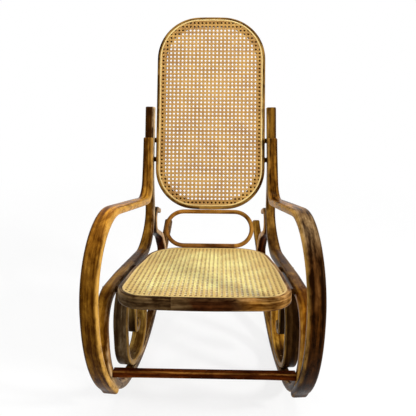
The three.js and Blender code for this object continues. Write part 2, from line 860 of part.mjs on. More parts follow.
for (const [side, hand] of [['left', -1], ['right', 1]]) {
  const frame = new THREE.Group();
  frame.position.set(hand * frameHalfWidth, 0, 0);
  frame.rotation.z = hand * frameSplay;
  const member = mesh(`${side}_stile_runner`, sideMember(hand), walnut);
  const arm = mesh(`${side}_arm_loop`, armLoop(hand), walnut);
  const scroll = mesh(`${side}_oval_scroll`, ovalScroll(hand), darkWalnut);
  const strut = mesh(`${side}_rear_strut`, rearStrut(hand), darkWalnut);
  frame.add(member, arm, scroll, strut);
  chair.add(frame);
  frame.updateMatrixWorld(true);

  // Stile to back ring
  const backWall = wallPlane(
    back,
    frame,
    new THREE.Vector3(hand * backHalfWidth, 0, 0),
    new THREE.Vector3(hand, 0, 0),
  );
  const inward = new THREE.Vector3(-hand, 0, 0);
  for (const place of ['lower', 'upper']) {
    const centre = stileCentre(backScrewHeights[place], -backScrewShifts[place]);
    const head = new THREE.Vector3(hand * memberWidth, centre.y, centre.z);
    const wallHit = new THREE.Ray(head, inward).intersectPlane(backWall, new THREE.Vector3());
    const length = head.distanceTo(wallHit) + backScrewBite - screwHeadDepth - headRecess;
    const hosts = [member, backFrame];
    addScrew(`${side}_back_screw_${place}`, frame, head, inward, length, hosts);
    frame.add(mesh(`${side}_back_spacer_${place}`, spacer(hand, centre, backWall), darkWalnut));
  }

  // Rail to seat ring
  for (const place of ['front', 'rear']) {
    const seatWall = wallPlane(
      seat,
      frame,
      new THREE.Vector3(hand * seatWaist.x, seatWaist.y, 0),
      new THREE.Vector3(hand * seatSideRun[place].y, -seatSideRun[place].x, 0),
    );
    const centre = railCentre(seatScrewReaches[place], -seatScrewRise);
    const head = new THREE.Vector3(hand * memberWidth, centre.y, centre.z);
    const wallHit = new THREE.Ray(head, inward).intersectPlane(seatWall, new THREE.Vector3());
    const length = head.distanceTo(wallHit) + seatScrewBite - screwHeadDepth - headRecess;
    addScrew(`${side}_seat_screw_${place}`, frame, head, inward, length, [member, seatFrame]);
    frame.add(mesh(`${side}_seat_spacer_${place}`, spacer(hand, centre, seatWall), darkWalnut));
  }

  // Arm to stile, from behind
  for (const place of ['upper', 'lower']) {
    const behind = stileCentre(armScrewHeights[place], -barHalf);
    const ahead = stileCentre(armScrewHeights[place], barHalf);
    const head = new THREE.Vector3(hand * memberWidth / 2, behind.y, behind.z);
    const forward = new THREE.Vector3(0, ahead.y - behind.y, ahead.z - behind.z);
    const length = memberThickness + jointGap + armScrewBite - screwHeadDepth - headRecess;
    addScrew(`${side}_arm_screw_${place}`, frame, head, forward, length, [member, arm]);
  }

  // Bands to bars
  const armFootAt = shinStart + armFootSteps;
  const scrollFootAt = runnerStart + scrollFootSteps;
  const strutFootShare = strutScrewRun / tailLength;
  const { armFoot: armShare, scrollFoot: scrollShare, strutTop: strutShare } = bandScrewShares;
  const bands = [
    ['arm_foot_screw', armFootAt, armShare, -1, armThickness, memberWidth, arm],
    ['scroll_foot_screw', scrollFootAt, scrollShare, 1, scrollThickness, memberWidth, scroll],
    ['strut_top_screw', hipStart, strutShare, 1, strutThickness, strutWidth, strut],
    ['strut_foot_screw', tailStart, strutFootShare, 1, strutThickness, strutWidth, strut],
  ];
  for (const [name, k, share, facing, guest, width, owner] of bands) {
    const [low, high] = [sideStations[k], sideStations[k + 1]];
    addBandScrew(`${side}_${name}`, frame, hand, low, high, share, facing, guest, width, [owner, member]);
  }
  const under = railCentre(scrollScrewReach, scrollOffset + scrollThickness / 2);
  const over = railCentre(scrollScrewReach, 0);
  addScrew(
    `${side}_scroll_top_screw`,
    frame,
    new THREE.Vector3(hand * memberWidth / 2, under.y, under.z),
    new THREE.Vector3(0, over.y - under.y, over.z - under.z),
    scrollThickness + jointGap + bandScrewBite - screwHeadDepth - headRecess,
    [scroll, member],
  );

  // Loop to seat, from below
  addScrew(
    `${side}_loop_screw`,
    seat,
    new THREE.Vector3(hand * loopScrewReach, seatDepth - loopInset, -seatRing.height),
    new THREE.Vector3(0, 0, 1),
    seatRing.height + jointGap + loopScrewBite - screwHeadDepth - headRecess,
    [seatFrame, rearLoop],
  );

  // Stretcher tenon
  const mortise = new THREE.CylinderGeometry(
    tenonRadius + jointGap,
    tenonRadius + jointGap,
    tenonLength + jointGap + boreOverrun,
    tenonSides,
  );
  mortise.rotateZ(Math.PI / 2);
  const mouth = innerFace(stretcherReach) - boreOverrun;
  mortise.translate(hand * (mouth + (tenonLength + jointGap + boreOverrun) / 2), 0, 0);
  bores.push({ tool: mortise, at: stretcherMesh, hosts: [member] });
}

chair.updateMatrixWorld(true);

// Every hole is cut with clearance out of each piece that its screw or tenon enters
const drilled = new Map();
for (const { tool, at, hosts } of bores) {
  for (const host of hosts) {
    const toHost = host.matrixWorld.clone().invert().multiply(at.matrixWorld);
    const cutter = toManifold(tool.clone().applyMatrix4(toHost));
    const solid = drilled.get(host) ?? toManifold(host.geometry);
    drilled.set(host, solid.subtract(cutter));
  }
}
for (const [host, solid] of drilled) host.geometry = fromManifold(solid);

// The footprint's centre is set on the origin and the runners on the floor
const bounds = new THREE.Box3().setFromObject(chair, true);
const middle = bounds.getCenter(new THREE.Vector3());
chair.position.set(-middle.x, -middle.y, -bounds.min.z);

const model = new THREE.Group();
model.add(chair);

export default model;
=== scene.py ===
import math

import bpy
import numpy as np
from mathutils import Matrix, Vector


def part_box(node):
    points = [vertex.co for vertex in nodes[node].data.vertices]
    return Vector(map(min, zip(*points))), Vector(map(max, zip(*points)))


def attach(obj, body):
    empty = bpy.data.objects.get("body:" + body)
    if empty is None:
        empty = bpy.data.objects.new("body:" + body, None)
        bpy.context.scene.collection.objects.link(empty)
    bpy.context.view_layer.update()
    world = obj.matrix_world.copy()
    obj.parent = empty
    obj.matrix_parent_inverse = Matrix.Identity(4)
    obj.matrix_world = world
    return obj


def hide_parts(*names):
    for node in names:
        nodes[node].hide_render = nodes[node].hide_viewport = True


# Bentwood rocking chair: stained bent beech with woven cane in seat and back

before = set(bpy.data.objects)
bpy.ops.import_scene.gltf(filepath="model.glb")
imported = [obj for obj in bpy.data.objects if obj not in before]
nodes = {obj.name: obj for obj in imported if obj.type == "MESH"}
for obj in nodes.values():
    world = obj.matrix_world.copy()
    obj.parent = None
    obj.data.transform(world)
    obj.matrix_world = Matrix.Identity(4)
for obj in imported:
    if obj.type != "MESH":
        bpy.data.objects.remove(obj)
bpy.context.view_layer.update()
sides = (("left", -1), ("right", 1))
print("frame loaded:", len(nodes), "nodes")

stretcherReach = 0.047
barLow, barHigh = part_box("front_stretcher")
rowShift = (barLow.y + barHigh.y) / 2 - stretcherReach  # reaches are measured back from the seat's front


# Helpers

def added(name, data):
    thing = bpy.data.objects.new(name, data)
    bpy.context.scene.collection.objects.link(thing)
    return thing


def wired(tree, kind, settings=(), **inputs):  # a node given as a value links its first output
    node = tree.nodes.new(kind)
    for key, value in dict(settings).items():
        setattr(node, key, value)
    for key, value in inputs.items():
        socket = node.inputs[int(key[1:])] if key[0] == "_" else node.inputs[key.replace("__", " ")]
        if isinstance(value, bpy.types.Node):
            value = value.outputs[0]
        if isinstance(value, bpy.types.NodeSocket):
            tree.links.new(value, socket)
        else:
            socket.default_value = value
    return node


def joined(tree, node, socket):
    tree.links.new(node.outputs[0], socket)


def maths(tree, operation, *values, clamp=False):
    settings = {"operation": operation, "use_clamp": clamp}
    return wired(tree, "ShaderNodeMath", settings, **{f"_{k}": value for k, value in enumerate(values)})


def ranged(tree, value, fromLow, fromHigh, toLow, toHigh, shape="LINEAR"):
    return wired(tree, "ShaderNodeMapRange", {"interpolation_type": shape}, Value=value, From__Min=fromLow,
                 From__Max=fromHigh, To__Min=toLow, To__Max=toHigh)


def noise(tree, place, scale, detail, roughness, distortion=0.0):
    return wired(tree, "ShaderNodeTexNoise", Vector=place, Scale=scale, Detail=detail, Roughness=roughness,
                 Distortion=distortion)


def attribute(tree, name):
    return wired(tree, "ShaderNodeAttribute", {"attribute_name": name}).outputs["Fac"]


def newFinish(name):
    material = bpy.data.materials.new(name)
    material.use_nodes = True
    tree = material.node_tree
    return material, tree, tree.nodes["Principled BSDF"]


# Camera and light

view = {"place": (0.0579, -1.431, 1.1359), "pitch": -18.77, "turn": 1.84, "lens": 54.4, "sensor": 36}
studio = {"floor": (0.93, 0.93, 0.93), "roughness": 0.95, "shine": 0.1, "world": 0.30,
          "near": 0.9, "far": 2.4, "paperGlow": 0.80,  # between these the paper turns plain white
          "halfWidth": 7, "front": -6, "back": 2.2, "curve": 1.5, "top": 5.0,
          "aim": (0, 0, 0.5), "lamps": (  # name, place, size in metres, power in watts
              ("frontLeft", (-2.4, -2.0, 2.4), 0.9, 26.0),
              ("window", (2.7, -1.7, 1.9), 0.45, 92.0),
              ("ceiling", (0.2, 0.4, 3.4), 1.6, 58.0))}


def setCamera():
    camera = added("photoCamera", bpy.data.cameras.new("photoCamera"))
    x, y, z = view["place"]
    camera.location = (x, y + rowShift, z)
    camera.rotation_euler = (math.radians(90 + view["pitch"]), 0, math.radians(view["turn"]))
    camera.data.lens = view["lens"]
    camera.data.sensor_width = view["sensor"]
    bpy.context.scene.camera = camera


def directly(tree):  # 1 where the backdrop is seen straight, in a reflection or through something
    path = wired(tree, "ShaderNodeLightPath")
    seen = maths(tree, "MAXIMUM", path.outputs["Is Camera Ray"], path.outputs["Is Glossy Ray"])
    return maths(tree, "MAXIMUM", seen, path.outputs["Is Transmission Ray"])


def setLight():
    scene = bpy.context.scene
    scene.view_settings.view_transform = "Standard"
    world = bpy.data.worlds.new("studio")
    world.use_nodes = True
    scene.world = world
    tree = world.node_tree
    sky = tree.nodes["Background"]
    sky.inputs["Color"].default_value = (1, 1, 1, 1)
    joined(tree, ranged(tree, directly(tree), 0, 1, studio["world"], 1), sky.inputs["Strength"])
    for name, place, size, power in studio["lamps"]:
        lamp = bpy.data.lights.new(name, "AREA")
        lamp.size = size
        lamp.energy = power
        holder = added(name, lamp)
        holder.location = place
        holder.rotation_euler = (Vector(studio["aim"]) - Vector(place)).to_track_quat("-Z", "Y").to_euler()


def paperFinish():
    paper, tree, sheet = newFinish("paper")
    sheet.inputs["Base Color"].default_value = (*studio["floor"], 1)
    sheet.inputs["Roughness"].default_value = studio["roughness"]
    sheet.inputs["Specular IOR Level"].default_value = studio["shine"]
    white = wired(tree, "ShaderNodeEmission", Strength=1.0)
    spot = wired(tree, "ShaderNodeTexCoord").outputs["Object"]
    away = wired(tree, "ShaderNodeVectorMath", {"operation": "LENGTH"}, _0=spot).outputs["Value"]
    blank = ranged(tree, away, studio["near"], studio["far"], studio["paperGlow"], 1, "SMOOTHSTEP")
    share = maths(tree, "MULTIPLY", blank, directly(tree))
    shown = wired(tree, "ShaderNodeMixShader", Fac=share, _1=sheet, _2=white)
    joined(tree, shown, tree.nodes["Material Output"].inputs["Surface"])
    return paper


def setBackdrop():  # a floor that curves up into a wall
    back, curve, half = studio["back"], studio["curve"], studio["halfWidth"]
    run = [(y, 0.0) for y in np.linspace(studio["front"], back, 5)]
    bends = np.radians(np.arange(10, 91, 10))
    run += [(back + curve * math.sin(a), curve - curve * math.cos(a)) for a in bends]
    run += [(back + curve, studio["top"])]
    verts = [(x, y, z) for y, z in run for x in (-half, half)]
    faces = [(2 * i, 2 * i + 1, 2 * i + 3, 2 * i + 2) for i in range(len(run) - 1)]
    mesh = bpy.data.meshes.new("backdrop")
    mesh.from_pydata(verts, [], faces)
    mesh.shade_smooth()
    mesh.materials.append(paperFinish())
    added("backdrop", mesh)


setCamera()
setLight()
setBackdrop()
print("camera and studio set")


# Paths and sections

def crossing(a, b, c, d):
    (ay, az), (by, bz), (cy, cz), (dy, dz) = a[:2], b[:2], c[:2], d[:2]
    along = (ay - cy) * (dz - cz) - (az - cz) * (dy - cy)
    across = (dy - cy) * (bz - az) - (dz - cz) * (by - ay)
    return ay + along / across * (by - ay), az + along / across * (bz - az)


def rounded(corners, closed=False, step=3.0):
    path = []
    total = len(corners)
    for i, corner in enumerate(corners):
        y, z = corner[0], corner[1]
        radius = corner[2] if len(corner) > 2 else 0.0
        if radius == 0 or (not closed and i in (0, total - 1)):
            path.append((y, z))
            continue
        before, after = corners[i - 1], corners[(i + 1) % total]
        inward = math.atan2(z - before[1], y - before[0])
        outward = math.atan2(after[1] - z, after[0] - y)
        turn = math.atan2(math.sin(outward - inward), math.cos(outward - inward))
        hand = math.copysign(1.0, turn)
        tangent = radius * math.tan(abs(turn) / 2)
        centreY = y - tangent * math.cos(inward) - hand * radius * math.sin(inward)
        centreZ = z - tangent * math.sin(inward) + hand * radius * math.cos(inward)
        steps = max(3, round(math.degrees(abs(turn)) / step))
        for angle in np.linspace(inward, inward + turn, steps + 1):
            across, down = hand * radius * math.sin(angle), hand * radius * math.cos(angle)
            path.append((centreY + across, centreZ - down))
    return np.array(path)


def eased(path, spacing=0.005, ease=0.006, closed=False):  # even stations, with bends that start gently
    if closed:
        path = np.vstack([path, path[:1]])
    runs = travelled(path)
    count = max(8, int(runs[-1] / spacing))
    places = np.linspace(0, runs[-1], count + 1)
    even = np.column_stack([np.interp(places, runs, path[:, k]) for k in (0, 1)])
    if closed:
        even = even[:-1]
    step = runs[-1] / count
    reach = max(1, int(3 * ease / step))
    weights = np.exp(-0.5 * (np.arange(-reach, reach + 1) * step / ease) ** 2)
    weights /= weights.sum()
    if closed:
        padded = np.vstack([even[-reach:], even, even[:reach]])
    else:
        padded = np.vstack([2 * even[0] - even[reach:0:-1], even, 2 * even[-1] - even[-2:-reach - 2:-1]])
    return np.column_stack([np.convolve(padded[:, k], weights, mode="valid") for k in (0, 1)])


def sideways(path, closed=False):
    if closed:
        along = np.roll(path, -1, axis=0) - np.roll(path, 1, axis=0)
    else:
        along = np.gradient(path, axis=0)
    along /= np.linalg.norm(along, axis=1)[:, None]
    return np.column_stack([-along[:, 1], along[:, 0]])


def travelled(path):
    return np.concatenate([[0], np.cumsum(np.linalg.norm(np.diff(path, axis=0), axis=1))])


# section of a planed bar: its points, and how near each one is to an arris
def softBox(width, thickness, corner, turns=5):
    w, t = width / 2 - corner, thickness / 2 - corner
    points, arris = [], []
    for cw, ct, start in ((w, t, 0), (-w, t, 90), (-w, -t, 180), (w, -t, 270)):
        for k in range(turns):
            angle = math.radians(start + 90 * k / (turns - 1))
            points.append((cw + corner * math.cos(angle), ct + corner * math.sin(angle)))
            arris.append(math.sin(math.pi * k / (turns - 1)))
    return np.array(points), np.array(arris)


def aroundOf(section):  # how far each point lies along the section's edge
    gaps = np.linalg.norm(np.roll(section, -1, axis=0) - section, axis=1)
    return np.concatenate([[0], np.cumsum(gaps)])


endGrain = 0.5  # how far the grain runs on across a cut end
sharpBend = 32  # degrees: steeper edges stay crisp


def skin(name, rings, along, around, arris, closed, finish, flank=0.0):
    rings = np.asarray(rings, float)
    count, points = rings.shape[:2]
    faces, uvs = [], []
    spans = count if closed else count - 1
    for i in range(spans):
        k = (i + 1) % count
        for j in range(points):
            m = (j + 1) % points
            faces.append((i * points + j, k * points + j, k * points + m, i * points + m))
            uvs.extend([(along[i], around[j]), (along[i + 1], around[j]),
                        (along[i + 1], around[j + 1]), (along[i], around[j + 1])])
    if not closed:
        for i, order in ((0, range(points)), (count - 1, range(points - 1, -1, -1))):
            faces.append(tuple(i * points + j for j in order))
            middle = rings[i].mean(axis=0)
            uvs.extend([(along[i] + (rings[i][j] - middle)[2] * endGrain, around[j]) for j in order])
    mesh = bpy.data.meshes.new(name)
    mesh.from_pydata(rings.reshape(-1, 3).tolist(), [], faces)
    layer = mesh.uv_layers.new(name="grain")
    layer.data.foreach_set("uv", np.array(uvs, np.float32).ravel())
    for label, values in (("arris", arris), ("flank", flank)):
        layer = mesh.attributes.new(label, "FLOAT", "POINT")
        layer.data.foreach_set("value", np.broadcast_to(values, (count, points)).astype(np.float32).ravel())
    return finished(name, mesh, finish)


def finished(name, mesh, finish):
    mesh.validate()
    if signedVolume(mesh) < 0:
        mesh.flip_normals()
    mesh.shade_smooth()
    mesh.set_sharp_from_angle(angle=math.radians(sharpBend))
    mesh.materials.append(finish)
    return added(name, mesh)


def pointsOf(mesh):
    place = np.empty(len(mesh.vertices) * 3)
    mesh.vertices.foreach_get("co", place)
    return place.reshape(-1, 3)


def signedVolume(mesh):
    mesh.calc_loop_triangles()
    corners = np.empty(len(mesh.loop_triangles) * 3, np.int32)
    mesh.loop_triangles.foreach_get("vertices", corners)
    a, b, c = (pointsOf(mesh)[corners.reshape(-1, 3)[:, k]] for k in range(3))
    return float(np.einsum("ij,ij->i", a, np.cross(b, c)).sum())


def fitted(piece, slot, *names):  # stands for its CAD nodes and rides on the chair's one body
    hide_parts(*names)
    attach(piece, "root")


# Finishes

def scaled(tree, source, by, offset=(0, 0, 0)):
    return wired(tree, "ShaderNodeMapping", Vector=source, Scale=by, Location=offset)


def ramp(tree, source, stops):  # stops: place, red, green, blue
    node = wired(tree, "ShaderNodeValToRGB", Fac=source)
    marks = node.color_ramp.elements
    while len(marks) < len(stops):
        marks.new(0.5)
    for mark, (place, *colour) in zip(marks, stops):
        mark.position = place
        mark.color = (*colour, 1)
    return node.outputs["Color"]


def blended(tree, mode, share, a, b):
    node = tree.nodes.new("ShaderNodeMix")
    node.data_type = "RGBA"
    node.blend_type = mode
    node.clamp_result = True
    for socket, value in ((node.inputs[0], share), (node.inputs[6], a), (node.inputs[7], b)):
        if isinstance(value, bpy.types.NodeSocket):
            tree.links.new(value, socket)
        else:
            socket.default_value = value if not isinstance(value, tuple) else (*value, 1)
    return node.outputs[2]


def grey(value):
    return (value, value, value)


def embossed(tree, shader, height, strength, distance):
    bump = wired(tree, "ShaderNodeBump", Height=height, Strength=strength, Distance=distance)
    joined(tree, bump, shader.inputs["Normal"])


def plain(*colour):  # one tone from end to end
    return ((0, *colour), (1, *colour))


# zones: the palest tone by place along the bar, in metres; stain, with painted highlight and painted shade
# where marked
woodLook = {"zones": plain(0.38, 0.18, 0.02), "slant": 0.0,
         "shade": (0.13, 0.08, 0.04), "middle": (0.42, 0.35, 0.27),
         # the dark mix below is painted shade on outer edges, beside the seat and in the ring's groove
         "tan": (0.66, 0.36, 0.075), "paintedShade": (0.028, 0.010, 0.002), "paintedShadeShare": 0.9,
         "bands": (5, 75, 1), "patches": (26, 55, 1), "streaks": (9, 420, 1), "pores": (110, 1500, 1),
         "bandShare": 0.62, "streakShare": 0.5, "poreShare": 0.45,
         "amberShare": 0.36, "amberFrom": 0.60, "amberFall": 0.20, "spread": 0.11, "rubAndHighlightSpread": (0.08, 0.12),
         "rubAndHighlight": 0.7, "flank": 0.5, "flankLeast": 0.45, "seed": 0.0, "seedSteps": (3.7, 1.3, 5.1),
         "gloss": (0.22, 0.40), "relief": (0.1, 0.0005), "ior": 1.3, "shine": 0.05,
         "shellac": (1.0, 0.66, 0.30, 1)}  # light goes through amber shellac on its way out


def woodFinish(name, **changes):
    look = {**woodLook, **changes}
    material, tree, shader = newFinish(name)
    grain = wired(tree, "ShaderNodeUVMap", {"uv_map": "grain"})
    shift = tuple(look["seed"] * step for step in look["seedSteps"])

    def grained(key, offset, detail, roughness, distortion=0.0):
        return noise(tree, scaled(tree, grain, look[key], offset), 1.0, detail, roughness, distortion)

    cloud = grained("bands", shift, 4.0, 0.6, 0.3)
    patch = grained("patches", shift[::-1], 5.0, 0.62, 0.35)
    streak = grained("streaks", shift, 4.0, 0.6)
    pores = grained("pores", shift, 2.0, 0.5)
    spot = wired(tree, "ShaderNodeSeparateXYZ", Vector=grain)
    run = maths(tree, "MULTIPLY_ADD", spot.outputs["Y"], look["slant"], spot.outputs["X"])
    length = look["zones"][-1][0]
    zones = [(place / length, *colour) for place, *colour in look["zones"]]
    tone = ramp(tree, maths(tree, "DIVIDE", run, length), zones)
    patchPart = maths(tree, "MULTIPLY", patch, 1 - look["bandShare"])
    mottle = maths(tree, "MULTIPLY_ADD", cloud, look["bandShare"], patchPart)
    middle, spread = look["amberFrom"] - look["amberFall"] * look["amberShare"], look["spread"]
    depth = ramp(tree, mottle, (
        (middle - spread, *look["shade"]), (middle, *look["middle"]), (middle + spread, *grey(1))))
    body = blended(tree, "MULTIPLY", 1.0, tone, depth)
    streaked = ramp(tree, streak, ((0.3, *grey(0.5)), (0.7, *grey(1))))
    body = blended(tree, "MULTIPLY", look["streakShare"], body, streaked)
    pored = ramp(tree, pores, ((0.36, *grey(0.4)), (0.47, *grey(1))))
    body = blended(tree, "MULTIPLY", look["poreShare"], body, pored)
    arris, flank = attribute(tree, "arris"), attribute(tree, "flank")
    before, after = look["rubAndHighlightSpread"]
    # the inner arrises turn pale: wear, with a painted highlight
    onEdge = ranged(tree, mottle, middle - before, middle + after, 0, look["rubAndHighlight"])
    rubAndPaintedLight = maths(tree, "MULTIPLY", arris, onEdge, clamp=True)
    # the inner flank takes a painted highlight, paler where the patches are high
    onFlank = ranged(tree, patch, 0.3, 0.6, look["flank"] * look["flankLeast"], look["flank"])
    paler = maths(tree, "MULTIPLY", flank, onFlank, clamp=True)
    body = blended(tree, "MIX", rubAndPaintedLight.outputs[0], body, look["tan"])
    body = blended(tree, "MIX", paler.outputs[0], body, look["tan"])
    kept = ranged(tree, maths(tree, "MINIMUM", arris, flank), 0, -1, 0, look["paintedShadeShare"])
    body = blended(tree, "MIX", kept.outputs[0], body, look["paintedShade"])  # painted shade on the outer edges, beside the seat and in the ring's groove
    tree.links.new(body, shader.inputs["Base Color"])
    joined(tree, ranged(tree, patch, 0.3, 0.7, *look["gloss"]), shader.inputs["Roughness"])
    shader.inputs["IOR"].default_value = look["ior"]
    shader.inputs["Specular IOR Level"].default_value = look["shine"]
    shader.inputs["Specular Tint"].default_value = look["shellac"]
    embossed(tree, shader, streak, *look["relief"])
    return material


caneLook = {"cloud": 13.0, "drift": 0.3, "fleck": 420.0, "fleckShare": 0.6, "gloss": 0.42,
            "relief": (0.15, 0.0003)}


def caneFinish(name, pale, deep, brown, dusk=None):  # dusk: painted shade on the lower sides of the weave, between two heights
    material, tree, shader = newFinish(name)
    place = wired(tree, "ShaderNodeTexCoord").outputs["Object"]
    cloud = noise(tree, place, caneLook["cloud"], 3.0, 0.6)
    fleck = noise(tree, place, caneLook["fleck"], 2.0, 0.6)
    drift = ranged(tree, cloud, 0.3, 0.7, -caneLook["drift"], caneLook["drift"])
    tone = maths(tree, "ADD", attribute(tree, "shade"), drift)
    body = ramp(tree, tone, ((0.0, *deep), (0.75, *pale)))
    flecks = ramp(tree, fleck, ((0.56, *grey(0)), (0.70, *grey(caneLook["fleckShare"]))))
    body = blended(tree, "MIX", flecks, body, brown)
    if dusk:
        low, high, colour = dusk
        depth = ranged(tree, attribute(tree, "height"), high, low, 0, 1)
        body = blended(tree, "MIX", depth.outputs[0], body, colour)
    tree.links.new(body, shader.inputs["Base Color"])
    shader.inputs["Roughness"].default_value = caneLook["gloss"]
    embossed(tree, shader, fleck, *caneLook["relief"])
    return material


print("finishes ready")


# Side frames

sideFrame = {"halfWidth": 0.2532, "splay": math.radians(6)}
member = {"topReach": 0.655, "topHeight": 0.7815, "reach": 0.606, "bendHeight": 0.560, "bendRadius": 0.450,
          "railRear": 0.307, "railFront": 0.382, "hip": 0.125, "knee": 0.084, "front": 0.021, "shin": 0.232,
          "rockRadius": 0.600, "rockReach": 0.350, "rockFrom": -10.01, "rockTo": 38.61, "rockSteps": 40,
          "footChord": 2.86, "tailSlope": 41.8, "tailLength": 0.231, "width": 0.031, "tailWidth": 0.028,
          "taperFrom": 0.7, "thickness": 0.027, "corner": 0.0085, "ease": 0.009,
          "railCrown": (0.220, 0.007, 0.350),  # reach, rise, radius
          "railSwell": 0.006, "swellFrom": (0.34, 0.50), "swellTo": (0.93, 1.10),  # by run from the top
          "tailDrift": 0.004, "tailBend": 0.13}
armLoop = {"thickness": 0.022, "width": 0.0466, "topHeight": 0.682, "elbow": 0.474, "shoulder": 0.643,
           "elbowRadius": 0.058, "shoulderRadius": 0.200, "front": -0.074,
           "wrist": 0.215, "wristRadius": 0.343,
           "footFrom": 34.9, "footTo": 41.4, "footSteps": 8, "corner": 0.0085, "ease": 0.009,
           "centre": 0.0155, "flareTo": 0.3}
scroll = {"width": 0.044, "thickness": 0.017, "inset": 0.0, "corner": 0.005, "ease": 0.004,
          "front": 0.209, "rear": 0.443, "tail": 0.400, "topRadius": 0.128, "innerHeight": 0.285,
          "innerRadius": 0.060, "stem": 0.318, "taper": 0.008, "hookHeight": 0.131, "hookSpan": 0.041,
          "hookRadius": 0.018, "hookTipRadius": 0.014, "hookTip": 0.157, "footFrom": -4.29, "footTo": -1.43}
strut = {"width": 0.033, "thickness": 0.017, "inset": 0.003, "corner": 0.005, "ease": 0.004,
         "tipReach": 0.694, "tipHeight": 0.402, "crest": 0.438, "crestRadius": 0.026, "waist": 0.356,
         "waistRadius": 0.038, "hipTurn": 10.8, "heelRun": 0.095, "toeRun": 0.030, "heelRadius": 0.028,
         "bulge": (0.722, 0.300, 0.070)}
fit = 0.0003
railSlope = math.atan2(member["railFront"] - member["railRear"], member["reach"] - member["front"])
armOut, bandOut, strutOut = (
    member["thickness"] / 2 + fit + size["thickness"] / 2 for size in (armLoop, scroll, strut))


def inFrame(hand, out, reach, height):
    c, s = math.cos(sideFrame["splay"]), math.sin(sideFrame["splay"])
    return (hand * (sideFrame["halfWidth"] + out * c - reach * s), out * s + reach * c + rowShift, height)


def railRise(reach):  # the rail is crowned a little behind the knee
    crownReach, rise = member["railCrown"][:2]
    return rise * np.interp(reach, (member["front"], crownReach, member["reach"]), (0, 1, 0))


def railPlace(reach, below):
    share = (reach - member["front"]) / (member["reach"] - member["front"])
    height = member["railFront"] + share * (member["railRear"] - member["railFront"]) + railRise(reach)
    return reach - below * math.sin(railSlope), height - below * math.cos(railSlope)


def stilePlace(height, ahead):
    share = (height - member["bendHeight"]) / (member["topHeight"] - member["bendHeight"])
    rise, run = member["topHeight"] - member["bendHeight"], member["topReach"] - member["reach"]
    lean = math.atan2(run, rise)
    return member["reach"] + share * run - ahead * math.cos(lean), height + ahead * math.sin(lean)


def rockPlace(angle, above=0.0):
    radius = member["rockRadius"] - member["thickness"] / 2 - above
    a = math.radians(angle)
    return member["rockReach"] + radius * math.sin(a), member["rockRadius"] - radius * math.cos(a)


def tailPlace(run, above=0.0):
    start = rockPlace(member["rockTo"])
    a = math.radians(member["tailSlope"])
    c, s = math.cos(a), math.sin(a)
    return start[0] + run * c - above * s, start[1] + run * s + above * c


rockLine = [rockPlace(a) for a in np.linspace(member["rockFrom"], member["rockTo"], member["rockSteps"])]
shinCorner = crossing(rockPlace(member["rockFrom"]), rockPlace(member["rockFrom"] + member["footChord"]),
                      (member["front"], 0), (member["front"], 1))
memberPath = np.vstack([
    rounded([
        (member["topReach"], member["topHeight"]),
        (member["reach"], member["bendHeight"], member["bendRadius"]),
        (member["reach"], member["railRear"], member["hip"]),
        (*railPlace(member["railCrown"][0], 0), member["railCrown"][2]),
        (member["front"], member["railFront"], member["knee"]),
        (*shinCorner, member["shin"]),
        rockLine[0]]),
    rockLine[1:],
    [tailPlace(member["tailLength"])]])

armTop, armLow = stilePlace(armLoop["topHeight"], armOut), stilePlace(armLoop["elbow"], armOut)
armShoulder = (armLoop["front"], armLoop["shoulder"])
armElbow = crossing(armTop, armLow, (member["reach"], armLoop["elbow"]), armShoulder)
shinSlope = math.atan2(rockLine[0][1] - shinCorner[1], rockLine[0][0] - shinCorner[0])
shinCentre = (member["front"] + member["shin"],
              shinCorner[1] + member["shin"] * math.tan((math.pi / 2 + shinSlope) / 2))


def shinPlace(angle, below):
    a, radius = math.radians(angle), member["shin"] + below
    return shinCentre[0] - radius * math.cos(a), shinCentre[1] - radius * math.sin(a)


footTurns = np.linspace(armLoop["footFrom"], armLoop["footTo"], armLoop["footSteps"])
armFoot = [shinPlace(a, armOut) for a in footTurns]
armPath = np.vstack([
    rounded([
        armTop,
        (*armElbow, armLoop["elbowRadius"]),
        (*armShoulder, armLoop["shoulderRadius"]),
        (armLoop["front"], armLoop["wrist"], armLoop["wristRadius"]),
        armFoot[0]]),
    armFoot[1:]])

footA, footB = (rockPlace(scroll[k], bandOut) for k in ("footFrom", "footTo"))
brow = railPlace(scroll["front"], bandOut)
toe = crossing(footA, footB, (scroll["front"], 0), (scroll["front"], 1))
heel = crossing(footA, footB, (scroll["rear"], 0), (scroll["rear"], 1))
footSlope = math.atan2(footB[1] - footA[1], footB[0] - footA[0])
stemFoot = scroll["stem"] - scroll["taper"]
scrollPath = rounded([
    railPlace(scroll["tail"], bandOut),
    (scroll["front"], brow[1], scroll["topRadius"]),
    (*toe, (footA[0] - toe[0] - fit) / math.tan((math.pi / 2 + footSlope) / 2)),
    (*heel, (heel[0] - footB[0] - fit) / math.tan((math.pi / 2 - footSlope) / 2)),
    (scroll["rear"], scroll["innerHeight"], scroll["innerRadius"]),
    (scroll["stem"], scroll["innerHeight"], scroll["innerRadius"]),
    (stemFoot, scroll["hookHeight"], scroll["hookRadius"]),
    (stemFoot + scroll["hookSpan"], scroll["hookHeight"], scroll["hookTipRadius"]),
    (stemFoot + scroll["hookSpan"] - scroll["taper"] / 2, scroll["hookTip"])])

hipTurn = math.pi / 2 + railSlope
hipTop = member["railRear"] + member["hip"] * math.tan(hipTurn / 2)


def hipPlace(angle, behind):
    a, radius = math.radians(angle), member["hip"] + behind
    return member["reach"] - member["hip"] + radius * math.cos(a), hipTop - radius * math.sin(a)


seatA, seatB = hipPlace(0, strutOut), hipPlace(strut["hipTurn"], strutOut)
crest = crossing(seatA, seatB, (0, strut["crest"]), (1, strut["crest"]))
waist = crossing(seatA, seatB, (0, strut["waist"]), (1, strut["waist"]))
strutPath = rounded([
    (strut["tipReach"], strut["tipHeight"]),
    (*crest, strut["crestRadius"]),
    (*waist, strut["waistRadius"]),
    strut["bulge"],
    (*tailPlace(strut["heelRun"], strutOut), strut["heelRadius"]),
    tailPlace(strut["toeRun"], strutOut)])
